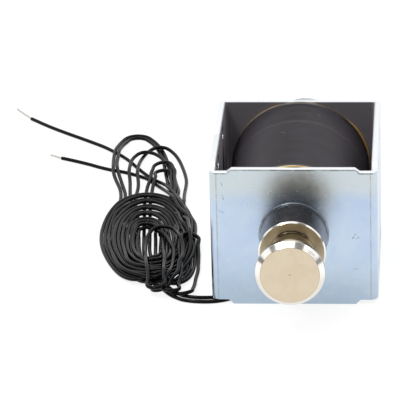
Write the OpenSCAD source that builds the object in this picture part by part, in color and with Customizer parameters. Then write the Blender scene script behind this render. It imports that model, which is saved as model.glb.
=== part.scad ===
// Push-pull solenoid: box frame, tape-wrapped coil, grooved plunger in a
// guide tube, push rod through a fixed pole piece, and two loose lead wires.
// X is across the frame, Y runs along the plunger (towards the push head),
// Z is up. The frame stands on its lower edges at Z = 0.

/* [Frame] */
// Width of the frame across its side walls
frame_w = 54; // [52:0.5:58]
// Height of the frame strip
frame_h = 47.3; // [46:0.1:52]
// Depth of the frame along the plunger
frame_l = 61; // [59:0.5:63]
// Thickness of the steel strip
sheet_t = 2; // [1.6:0.1:2.2]
// Outer radius of the four bends
bend_r = 2.4; // [2.2:0.1:3]
// How much the upper edge steps down at the two front bends
relief_top = 1.2; // [0.5:0.05:1.5]
// How much the lower edge steps up at the two front bends
relief_bottom = 1.5; // [1.4:0.05:2]
// Height of the plunger axis above the base
axis_z = 24.5; // [24:0.1:26]
// Diameter of the tapped mounting holes, at the thread crests
mount_d = 4.2; // [3.2:0.1:4.5]
// Spacing of the mounting holes along the plunger
mount_dy = 25; // [20:1:30]
// Spacing of the mounting holes up the wall
mount_dz = 36; // [34:0.5:36]

/* [Coil] */
// Diameter of the insulating end washers
washer_d = 46.2; // [45:0.1:47]
// Thickness of each end washer
washer_t = 0.8; // [0.5:0.1:1]
// Diameter of the bobbin flanges
flange_d = 46.1; // [45:0.1:46.4]
// Thickness of the bobbin flanges
flange_t = 1.2; // [1:0.1:2]
// Outside diameter of the copper winding
winding_d = 44.4; // [40:0.1:44.6]
// Outside diameter of the front tape wrap
tape_d = 45.8; // [45:0.1:46]
// Outside diameter of the rear tape wrap
tape_rear_d = 45.4; // [45:0.1:45.8]
// Where the two wraps meet, measured along Y
tape_seam_y = 10; // [0:1:20]

/* [Plunger] */
// Diameter of the plunger body
plunger_d = 21.6; // [21:0.1:21.8]
// Diameter of the plunger head
head_d = 22; // [21:0.1:22.4]
// Diameter of the neck between head and body
neck_d = 14.6; // [12:0.1:16]
// Thickness of the head with its chamfer
head_t = 3.3; // [3:0.1:4]
// Width of the groove behind the head
groove_w = 13.9; // [10:0.1:15]
// Chamfer on the front of the head
head_c = 1.6; // [1:0.1:2]
// How far the head stands in front of the frame
reach_front = 32; // [30:0.5:34]
// How far the push head stands behind the frame
reach_rear = 36; // [34:0.5:38]
// Inward travel until the plunger meets its washer
travel_in = 10; // [8:1:10]
// Outward travel until the lock nut meets the pole piece
travel_out = 20; // [16:1:20]

/* [Push rod] */
// Diameter of the push rod
rod_d = 8; // [7:0.1:9]
// Diameter of the push head's disc
pad_d = 21.6; // [20:0.1:22]
// Thickness of the push head's disc
pad_t = 2.3; // [2:0.1:3]

/* [Leads] */
// Outside diameter of each lead wire
lead_d = 1.3; // [1.2:0.05:1.4]

/* [Hidden] */

fit = 0.07;                        // radial running clearance
y_head = -64.5;                    // front face of the plunger head
y_fr = y_head + reach_front;       // outer face of the front wall
y_rr = y_fr + frame_l;             // outer face of the rear wall
y_pad = y_rr + reach_rear;         // rear face of the push head
y_fi = y_fr + sheet_t;             // inner face of the front wall
y_ri = y_rr - sheet_t;             // inner face of the rear wall
tube_ri = plunger_d / 2 + fit;     // guide tube bore
tube_ro = tube_ri + 0.25;          // guide tube outside
pole_l = 8;                        // pole piece inside the frame
y_pole = y_ri - pole_l;            // working face of the pole piece
boss_r = 6;                        // staked boss through the rear wall
boss_out = 1.5;                    // boss behind the rear wall
buffer_t = 0.5;                    // buffer washer
y_plunger = y_pole - buffer_t - 0.1 - travel_in;   // plunger's rear end
y_nut = y_rr + boss_out + 0.1 + travel_out;        // lock nut's front face
nut_t = 5;
y_hub = y_nut + nut_t;
y_mid = (y_fr + y_rr) / 2;

// Route of the front lead, from the coil to the hank
route_a = [[-11.4, -25.2, 6.9], [-12.4, -25.5, 5.3], [-14.4, -26.2, 3.2],
           [-17.4, -27.6, 1.3], [-20.4, -29.4, 0.7], [-23.6, -31.4, 0.7],
           [-27, -32.4, 0.7], [-30.6, -32.5, 0.7], [-34.2, -32, 0.7],
           [-37.8, -30.4, 0.7], [-41, -27.4, 0.7], [-44, -23, 0.8]];
// Route of the rear lead, from the coil to the hank
route_b = [[-12.9, -21, 8], [-13.6, -21.6, 5.9], [-15.6, -22.6, 3.6],
           [-18.2, -24.6, 1.5], [-21, -27.2, 0.7], [-24, -28.8, 0.7],
           [-27.6, -29.2, 0.7], [-31.2, -29.3, 0.7], [-34.8, -28.6, 0.7],
           [-38.4, -26.6, 0.7], [-41.2, -23.2, 0.8], [-43.4, -18.6, 1]];
// Route of one free end, from the hank to its bare tip
route_ae = [[-57, 74, 1.6], [-59, 79, 1.2], [-61.4, 84, 0.8], [-65, 90, 0.7],
            [-69.4, 96, 0.7], [-73.6, 101, 0.7], [-80, 107, 0.7],
            [-88, 114, 0.7], [-95.6, 121, 0.7], [-103.4, 129.2, 0.7]];
// Route of the other free end
route_be = [[-56, 70, 1.6], [-59.6, 74.4, 1.2], [-64.4, 77.2, 0.8],
            [-69, 79.4, 0.7], [-73.6, 82, 0.7], [-78, 85, 0.7],
            [-83.4, 88.2, 0.7], [-88.4, 90.9, 0.7]];

// ---- helpers -------------------------------------------------------------

// A solid turned about the plunger axis: points are [radius, y]
module turned(pts, fn = 96) {
    translate([0, 0, axis_z]) rotate([-90, 0, 0])
        rotate_extrude($fn = fn) polygon(pts);
}

// A cylinder along Y from y0 to y1
module rod_y(r, y0, y1, x = 0, z = axis_z, fn = 64) {
    translate([x, y0, z]) rotate([-90, 0, 0]) cylinder(r = r, h = y1 - y0, $fn = fn);
}

function unit(v) = v / norm(v);
function spline(p, i, t) =
    let (n = len(p) - 1,
         a = p[max(i - 1, 0)], b = p[i], c = p[min(i + 1, n)], d = p[min(i + 2, n)])
    0.5 * (2 * b + (c - a) * t + (2 * a - 5 * b + 4 * c - d) * t * t
           + (3 * b - a - 3 * c + d) * t * t * t);
function smooth(p, k) =
    [for (i = [0:len(p) - 2], j = [0:k - 1]) spline(p, i, j / k), p[len(p) - 1]];
function heading(p, i) = unit(p[min(i + 1, len(p) - 1)] - p[max(i - 1, 0)]);

// A round wire swept along a list of points
module wire(p, r, sides = 8) {
    n = len(p);
    pts = [for (i = [0:n - 1])
             let (t = heading(p, i), s = unit(cross(t, [0, 0, 1])), u = cross(s, t))
             for (j = [0:sides - 1])
               p[i] + r * (cos(360 * j / sides) * s + sin(360 * j / sides) * u)];
    faces = concat(
        [[for (j = [0:sides - 1]) j]],
        [for (i = [0:n - 2], j = [0:sides - 1])
            [i * sides + j, (i + 1) * sides + j,
             (i + 1) * sides + (j + 1) % sides, i * sides + (j + 1) % sides]],
        [[for (j = [sides - 1:-1:0]) (n - 1) * sides + j]]);
    polyhedron(points = pts, faces = faces, convexity = 10);
}

// A straight bar of square section between two points of the YZ plane
module score(a, b, x, w = 0.22, d = 0.6) {
    v = b - a;
    translate([x - d / 2, a[0], a[1]]) rotate([atan2(v[1], v[0]) - 90, 0, 0])
        translate([0, -w / 2, -w / 2]) cube([d, norm(v) + w, w]);
}

// ---- frame ---------------------------------------------------------------

module rounded_box_2d(w, y0, y1, r) {
    x = w / 2;
    translate([-x + r, y0]) square([w - 2 * r, y1 - y0]);
    translate([-x, y0 + r]) square([w, y1 - y0 - 2 * r]);
    for (sx = [-1, 1], y = [y0 + r, y1 - r])
        translate([sx * (x - r), y]) circle(r = r, $fn = 48);
}

// One step in the strip's edge at each end of the front wall; the shoulder
// slopes over about one and a half millimetres
module relief_across(z_edge, depth, up) {
    w = frame_w / 2;
    translate([0, y_fi + 0.01, z_edge]) rotate([90, 0, 0])
        linear_extrude(sheet_t + 1.01)
            for (s = [-1, 1])
                polygon([[s * (w + 1), -up * depth], [s * (w - 5.6), -up * depth],
                         [s * (w - 7.2), 0], [s * (w - 7.2), up * 3], [s * (w + 1), up * 3]]);
}

// The same step, cut through the side walls next to the front bends
module relief_along(z_edge, depth, up) {
    for (x = [-frame_w / 2 + sheet_t + 0.01, frame_w / 2 + 1])
        translate([x, 0, z_edge]) rotate([90, 0, -90])
            linear_extrude(sheet_t + 1.01)
                polygon([[1 - y_fr, -up * depth], [-y_fr - 4.9, -up * depth],
                         [-y_fr - 6.3, 0], [-y_fr - 6.3, up * 3], [1 - y_fr, up * 3]]);
}

module frame() {
    tab = [[y_mid, frame_h + 1], [y_mid, 31], [y_mid + 5.5, 34], [y_mid + 5.5, 15],
           [y_mid, 18], [y_mid, -1]];
    color("#c9d2d8") difference() {
        linear_extrude(frame_h) rounded_box_2d(frame_w, y_fr, y_rr, bend_r);
        translate([-frame_w / 2 + sheet_t, y_fi, -1])
            cube([frame_w - 2 * sheet_t, frame_l - 2 * sheet_t, frame_h + 2]);
        relief_across(frame_h, relief_top, 1);
        relief_along(frame_h, relief_top, 1);
        relief_across(0, relief_bottom, -1);
        relief_along(0, relief_bottom, -1);
        // hole for the guide tube, and the smaller one for the staked boss
        rod_y(tube_ro, y_fr - 1, y_fi + 1);
        rod_y(boss_r, y_ri - 1, y_rr + 1);
        // tapped mounting holes, four in each side wall
        for (sx = [-1, 1], sy = [-1, 1], sz = [-1, 1])
            translate([sx * (frame_w / 2 - sheet_t / 2), y_mid + sy * mount_dy / 2,
                       axis_z + sz * mount_dz / 2])
                rotate([0, 90, 0]) cylinder(d = mount_d, h = sheet_t + 2, center = true, $fn = 48);
        // scored line where the strip's two ends are keyed together
        for (i = [0:len(tab) - 2]) score(tab[i], tab[i + 1], -frame_w / 2);
    }
}

// ---- coil ----------------------------------------------------------------

module ring_y(ri, ro, y0, y1, fn = 96) {
    turned([[ri, y0], [ro, y0], [ro, y1], [ri, y1]], fn);
}

module front_washer() color("#b89a4c") ring_y(tube_ro, washer_d / 2, y_fi, y_fi + washer_t);
module rear_washer() color("#b89a4c") ring_y(tube_ro, washer_d / 2, y_ri - washer_t, y_ri);

module bobbin() {
    y0 = y_fi + washer_t;
    y1 = y_ri - washer_t;
    core = tube_ro + 1;
    color("#3a3836")
        turned([[tube_ro, y0], [flange_d / 2, y0], [flange_d / 2, y0 + flange_t],
                [core, y0 + flange_t], [core, y1 - flange_t],
                [flange_d / 2, y1 - flange_t], [flange_d / 2, y1], [tube_ro, y1]]);
}

// The two lead splices lie along Y in pockets just under the tape
module splice_spaces(r) {
    rod_y(r, -26.4, -16.4, -11.1, 7.1, 32);
    rod_y(r, -24.2, -14.2, -13.2, 8.9, 32);
}

module winding() {
    color("#8a4a2a") difference() {
        ring_y(tube_ro + 1, winding_d / 2, y_fi + washer_t + flange_t, y_ri - washer_t - flange_t);
        splice_spaces(1.1);
    }
}

module tape_front() color("#2c2a2d")
    ring_y(winding_d / 2, tape_d / 2, y_fi + washer_t + flange_t, tape_seam_y);
module tape_rear() color("#322f33")
    ring_y(winding_d / 2, tape_rear_d / 2, tape_seam_y, y_ri - washer_t - flange_t);

module splice_sleeves() color("#e8e4d8") difference() {
    splice_spaces(1.1);
    splice_spaces(0.5);
}
module solder_joints() color("#b8b8b8") splice_spaces(0.5);

// ---- magnetic core and moving parts --------------------------------------

module guide_tube() color("#c8b070")
    turned([[tube_ri, y_fr - 0.2], [tube_ro - 0.08, y_fr - 0.2], [tube_ro, y_fr - 0.12],
            [tube_ro, y_ri], [tube_ri, y_ri]]);

module pole_piece() {
    bore = rod_d / 2 + 0.06;
    color("#a9abad")
        turned([[bore, y_pole], [tube_ri - 0.5, y_pole], [tube_ri, y_pole + 0.5],
                [tube_ri, y_ri], [boss_r, y_ri], [boss_r, y_rr],
                [boss_r + 0.9, y_rr], [boss_r + 0.9, y_rr + boss_out - 0.6],
                [boss_r + 0.3, y_rr + boss_out], [bore, y_rr + boss_out]]);
}

module buffer_washer() color("#d8c060")
    ring_y(rod_d / 2 + 0.4, tube_ri - 1.2, y_pole - buffer_t, y_pole, 64);

module plunger() {
    r = plunger_d / 2;
    hr = head_d / 2;
    nr = neck_d / 2;
    y_back = y_head + head_t;
    y_sh = y_back + groove_w;
    color("#d8ceb8")
        turned([[0, y_head + 0.45], [0.45, y_head], [hr - head_c, y_head],
                [hr, y_head + head_c], [hr, y_back - 0.25], [hr - 0.25, y_back],
                [nr, y_back], [nr, y_sh], [r - 0.55, y_sh], [r, y_sh + 0.55],
                [r, y_plunger - 0.6], [r - 0.6, y_plunger], [3, y_plunger],
                [3, y_plunger - 12], [0, y_plunger - 12]], 128);
}

module push_rod() {
    r = rod_d / 2;
    color("#b9bcc0")
        turned([[0, y_plunger - 11.8], [3, y_plunger - 11.8], [3, y_plunger],
                [r, y_plunger], [r, y_nut - 0.4], [r - 0.4, y_nut],
                [3, y_nut], [3, y_pad - 1.5], [0, y_pad - 1.5]], 64);
}

module lock_nut() {
    af = 10;
    color("#a8a49a") difference() {
        translate([0, 0, axis_z]) rotate([-90, 0, 0])
            translate([0, 0, y_nut]) cylinder(d = af / cos(30), h = nut_t, $fn = 6);
        rod_y(3, y_nut - 1, y_hub + 1);
    }
}

module push_head() {
    r = pad_d / 2;
    y0 = y_pad - pad_t;
    color("#cfc6b4")
        turned([[3, y_hub], [6.6, y_hub], [7, y_hub + 0.4], [7, y0], [r - 0.3, y0],
                [r, y0 + 0.3], [r, y_pad - 0.5], [r - 0.5, y_pad], [0, y_pad],
                [0, y_pad - 1.5], [3, y_pad - 1.5]], 96);
}

// ---- leads ---------------------------------------------------------------

module lead_a() color("#17171a") wire(smooth(route_a, 1), lead_d / 2);
module lead_b() color("#17171a") wire(smooth(route_b, 1), lead_d / 2);
module lead_a_end() color("#17171a") wire(smooth(route_ae, 2), lead_d / 2);
module lead_b_end() color("#17171a") wire(smooth(route_be, 2), lead_d / 2);

// A bar with round ends, in plan
module capsule_2d(x, y0, y1, r) {
    translate([x - r, y0]) square([2 * r, y1 - y0]);
    for (y = [y0, y1]) translate([x, y]) circle(r = r, $fn = 64);
}

// Outer shape of the two leads bundled beside the frame
module lead_hank() color("#202024")
    linear_extrude(8) {
        capsule_2d(-50.5, -17, 37, 16.5);
        capsule_2d(-55.5, 40, 92, 12.5);
    }

// Stripped and tinned strands at the two free ends
module bare_tip(a, b) {
    v = b - a;
    translate(a) rotate([0, acos(v[2] / norm(v)), atan2(v[1], v[0])])
        cylinder(d = 0.8, h = norm(v), $fn = 24);
}
module lead_tips() color("#c8c6c0") {
    bare_tip([-103.4, 129.2, 0.7], [-109.8, 139, 0.7]);
    bare_tip([-88.4, 90.9, 0.7], [-92.7, 93.9, 0.7]);
}

frame();
front_washer();
rear_washer();
bobbin();
winding();
tape_front();
tape_rear();
guide_tube();
pole_piece();
buffer_washer();
plunger();
push_rod();
lock_nut();
push_head();
splice_sleeves();
solder_joints();
lead_a();
lead_b();
lead_hank();
lead_a_end();
lead_b_end();
lead_tips();
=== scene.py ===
# Push pull solenoid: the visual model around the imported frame.
# Lengths are in millimetres here and turned into metres where a mesh is made.
import math

import bmesh
import bpy
import numpy as np
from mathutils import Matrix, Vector
from mathutils.geometry import delaunay_2d_cdt


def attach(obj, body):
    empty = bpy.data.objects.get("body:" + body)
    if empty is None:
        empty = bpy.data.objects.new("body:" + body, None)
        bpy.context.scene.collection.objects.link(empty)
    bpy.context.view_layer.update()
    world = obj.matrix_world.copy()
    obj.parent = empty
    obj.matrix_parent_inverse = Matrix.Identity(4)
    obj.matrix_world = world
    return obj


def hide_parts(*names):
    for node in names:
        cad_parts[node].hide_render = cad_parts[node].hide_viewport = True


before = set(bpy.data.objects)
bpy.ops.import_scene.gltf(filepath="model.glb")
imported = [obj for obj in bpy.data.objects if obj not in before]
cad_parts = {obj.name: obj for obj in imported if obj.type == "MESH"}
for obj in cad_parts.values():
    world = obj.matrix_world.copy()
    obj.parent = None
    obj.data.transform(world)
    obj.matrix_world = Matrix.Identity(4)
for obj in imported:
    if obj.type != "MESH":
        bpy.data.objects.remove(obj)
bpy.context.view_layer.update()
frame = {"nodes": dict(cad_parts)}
MM = 0.001
TAU = 2 * math.pi
AXIS_Z = 24.5
scene = bpy.context.scene


# ---- camera -----------------------------------------------------------------

cam = bpy.data.objects.new("camera", bpy.data.cameras.new("camera"))
cam.data.lens = 321.1
cam.data.sensor_width = 36.0
cam.data.clip_start = 0.02
cam.data.clip_end = 20.0
cam.location = (0.048724, -1.086229, 0.481240)
cam.rotation_euler = [math.radians(a) for a in (67.1707, 1.4364, 3.6673)]
scene.collection.objects.link(cam)
scene.camera = cam


# ---- leads ------------------------------------------------------------------
# Each lead is laid out as a route of points (x, y, height) and then
# settled: it keeps its length, falls onto the floor and onto the turns below
# it, keeps one diameter clear of every other turn, and resists bending.

LEAD_D = 1.3
LEAD_R = LEAD_D / 2
STEP = 2.0
BEND = 3.05

ROUTE_A = [
    (-11.4, -25.2, 6.9), (-12.4, -25.5, 5.3), (-14.4, -26.2, 3.2), (-17.4, -27.6, 1.3),
    (-20.4, -29.4, 0.7), (-23.6, -31.4, 0.7), (-27, -32.4, 0.7), (-30.6, -32.5, 0.7),
    (-34.2, -32, 0.7), (-37.8, -30.4, 0.7), (-41, -27.4, 0.7), (-44, -23, 0.8),
    # turns of the hank
    (-49.5, -19, 1.1), (-54.5, -14, 1), (-57.5, -7, 0.8), (-59.5, -0, 0.7), (-61, 7, 0.7),
    (-62, 14, 0.7), (-63, 21, 0.7), (-63.5, 28, 0.7), (-64, 35, 0.7), (-64, 42, 0.7),
    (-64, 49, 0.7), (-64, 55.5, 0.7), (-65, 62.5, 0.8), (-67, 69, 1), (-68.5, 74.5, 1.3),
    (-69, 81, 1.6), (-69.5, 88, 1.6), (-69.5, 95, 1.5), (-68.5, 103, 1.3), (-66, 110.5, 1),
    (-60, 111.5, 0.8), (-56, 106, 0.7), (-53.5, 100, 0.7), (-51.5, 93, 0.7), (-50, 86.5, 0.7),
    (-49, 79.5, 0.7), (-48, 72.5, 0.7), (-47, 65.5, 0.7), (-45.5, 58.5, 0.7), (-43.5, 52, 0.7),
    (-41.5, 45, 0.7), (-39.5, 38.5, 0.7), (-38, 31, 0.7), (-37, 24.5, 0.7), (-36, 18.5, 0.7),
    (-35.5, 12.5, 0.7), (-35, 6, 0.7), (-34.5, -1, 0.7), (-35, -8.5, 0.8), (-36, -16, 1),
    (-40.5, -22, 1.4), (-46.5, -19.5, 1.6), (-50.5, -12.5, 1.4), (-52.5, -5, 1),
    (-54.5, 3, 0.8), (-55.5, 10.5, 0.7), (-56.5, 17.5, 0.7), (-57, 25, 0.7), (-57.5, 32.5, 0.7),
    (-58.5, 39.5, 0.7), (-59.5, 47, 0.7), (-61, 56, 0.7), (-61.5, 62.5, 0.9), (-62, 69, 1.1),
    (-63, 75, 1.5), (-63, 81.5, 1.8), (-62.5, 88, 2), (-58.5, 93.5, 2), (-53, 89.5, 2),
    (-50.5, 83.5, 1.9), (-48, 77.5, 1.6), (-46.5, 71, 1.3), (-45.5, 64.5, 1.2),
    (-44.5, 57, 1.4), (-44, 49.5, 1.6), (-42.5, 42.5, 1.5), (-42, 36, 1.3), (-41, 29.5, 1.1),
    (-40.5, 22.5, 1.2), (-40, 14.5, 1.4), (-40, 7, 1.5), (-40, 0.5, 1.3), (-40.5, -6, 1.1),
    (-41, -13.5, 1.4), (-44.5, -20.5, 1.9), (-47.5, -14.5, 2.1), (-49.5, -7, 1.8),
    (-51.5, 1, 1.2), (-52.5, 8.5, 0.8), (-53, 16, 0.7), (-53.5, 23, 0.7), (-54, 30, 0.7),
    (-54.5, 37, 0.7), (-55, 44, 0.7), (-55.5, 51, 0.7), (-55.5, 57.5, 0.8), (-55.5, 63.5, 1.1),
    (-54.5, 69.5, 1.5), (-54.5, 75.5, 1.9), (-53.5, 81.5, 2.2), (-49.5, 81.5, 2.4),
    (-47.5, 75, 2.4), (-46.5, 68, 2.3), (-45.5, 61.5, 2.2), (-45, 55.5, 1.9),
    (-44.5, 49.5, 1.6), (-44.5, 43.5, 1.2), (-45.5, 37, 0.9), (-46.5, 30.5, 0.7),
    (-47, 23.5, 0.7), (-47, 16.5, 0.7), (-46.5, 9, 0.8), (-46, 1.5, 1), (-45, -6, 1.4),
    (-44, -13.5, 1.6), (-52, -19, 1.7), (-57.5, -14, 1.4), (-61, -7, 1), (-63.5, 0, 0.8),
    (-65.5, 7.5, 0.7), (-67, 14.5, 0.7), (-67.5, 21, 0.7), (-68, 28.5, 0.7), (-67.5, 35.5, 0.8),
    (-66.5, 41, 1.1), (-64, 47.5, 1.5), (-60.5, 52.5, 1.8), (-54, 55, 2), (-48, 51.5, 2.2),
    (-43.5, 46, 2.3), (-40.5, 39.5, 2.3), (-38.5, 33.5, 2), (-36.5, 27.5, 1.7),
    (-36, 20.5, 1.7), (-36, 13.5, 1.8), (-35.5, 6, 1.9), (-36, -1, 2), (-37.5, -8.5, 2.2),
    (-40.5, -16, 2.6), (-45.5, -21.5, 3.1), (-51, -18, 3.2), (-56.5, -12.5, 2.9),
    (-60.5, -5.5, 2.3), (-62.5, 2.5, 1.8), (-64, 10.5, 1.4), (-65, 18, 1.1), (-65.5, 26, 1),
    (-65, 32.5, 1.1), (-64, 39, 1.4), (-61.5, 44.5, 1.8), (-57.5, 49.5, 1.9), (-50.5, 49.5, 2),
    (-45.5, 44.5, 2.1), (-42.5, 37.5, 2.3), (-40.5, 30, 2.6), (-38.5, 22.5, 2.9),
    (-37.5, 15.5, 2.8), (-38, 9.5, 2.5), (-38, 3.5, 2.1), (-39.5, -3.5, 2), (-41.5, -11, 2.5),
    (-46, -18, 3.2), (-51.5, -14.5, 3.3), (-56.5, -9, 2.9), (-59.5, -1.5, 2.4), (-61.5, 6.5, 2),
    (-62.5, 13.5, 1.9), (-63, 21, 2), (-63, 28, 2), (-61.5, 35, 2), (-59, 41.5, 2),
    (-53.5, 45, 2), (-48, 41.5, 1.9), (-44.5, 35.5, 1.8), (-42, 28.5, 1.9), (-41, 21, 2.1),
    (-40, 14, 2.4), (-40, 6, 2.5), (-41, -0.5, 2.6), (-43, -8.5, 2.9), (-47, -15, 3.4),
    (-51.5, -12.5, 3.5), (-56.5, -6, 3.3), (-58.5, 1.5, 2.8), (-60, 9.5, 2.3), (-61.5, 17.5, 2),
    (-61, 25, 1.8), (-60, 32, 1.8), (-57, 38.5, 1.8), (-50, 38, 1.9), (-46, 33, 1.7),
    (-44, 26.5, 1.5), (-43, 19.5, 1.4), (-42.5, 11.5, 1.9), (-42.5, 3, 2.6), (-44, -5.5, 3.2),
    (-48, -12, 3.3), (-51.5, -8, 3), (-55.5, -1, 2.5), (-58, 6.5, 2), (-59, 15, 1.7),
    (-59, 22.5, 1.6), (-58, 29, 1.7), (-53.5, 34, 1.9), (-48.5, 29, 1.9), (-46, 22, 1.9),
    (-44.5, 14.5, 2.2), (-44.5, 6, 2.6), (-45, -2, 3.1), (-48.5, -9, 3.3), (-51.5, -4.5, 3),
    (-55, 3.5, 2.6), (-56.5, 12, 2.4), (-56.5, 20, 2.5), (-53.5, 27, 2.6), (-50, 23.5, 2.5),
    (-47.5, 21, 2.5), (-46.5, 16, 2.7), (-46, 9.5, 3.3), (-45, 3, 4), (-44.5, -3.5, 4.6),
    (-44, -9.5, 4.9), (-44, -15, 4.9), (-43.5, -22.5, 4.4), (-44.5, -31, 3.9),
    (-47.5, -28, 3.9), (-48.5, -20, 4.3), (-50, -12, 4.5), (-50.5, -5.5, 4), (-51.5, 2, 3.2),
    (-52, 8.5, 2.6), (-52, 13.5, 2.5), (-51.5, 17.5, 3), (-49, 21.5, 3.6), (-44, 21, 4.1),
    (-41.5, 16, 4.4), (-40, 11.5, 4.2), (-39.5, 7, 3.9), (-39, 2.5, 3.8), (-38.5, -2.5, 3.7),
    (-39, -8, 3.7), (-39, -14, 3.5), (-41, -21, 2.9), (-44, -27.5, 2), (-47, -24, 1.2),
    (-48.5, -18, 0.8), (-48.5, -13, 0.7), (-48, -8, 0.7), (-46, -3, 0.7), (-43.5, 1, 0.7),
    (-41.5, 5.5, 0.8), (-40, 10, 1.1), (-38.5, 15, 1.6), (-37, 23, 2.1), (-38.5, 29, 2.7),
    (-40, 35, 3.3), (-42, 41.5, 3.5), (-44.5, 49, 3.3), (-47, 57.5, 2.6), (-49.5, 64.5, 1.8),
    (-52.5, 69, 1.1), (-56.5, 74.5, 0.8),
    # free end
    (-65, 90, 0.7), (-69.4, 96, 0.7), (-73.6, 101, 0.7), (-80, 107, 0.7), (-88, 114, 0.7),
    (-95.6, 121, 0.7), (-103.4, 129.2, 0.7),
]
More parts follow.
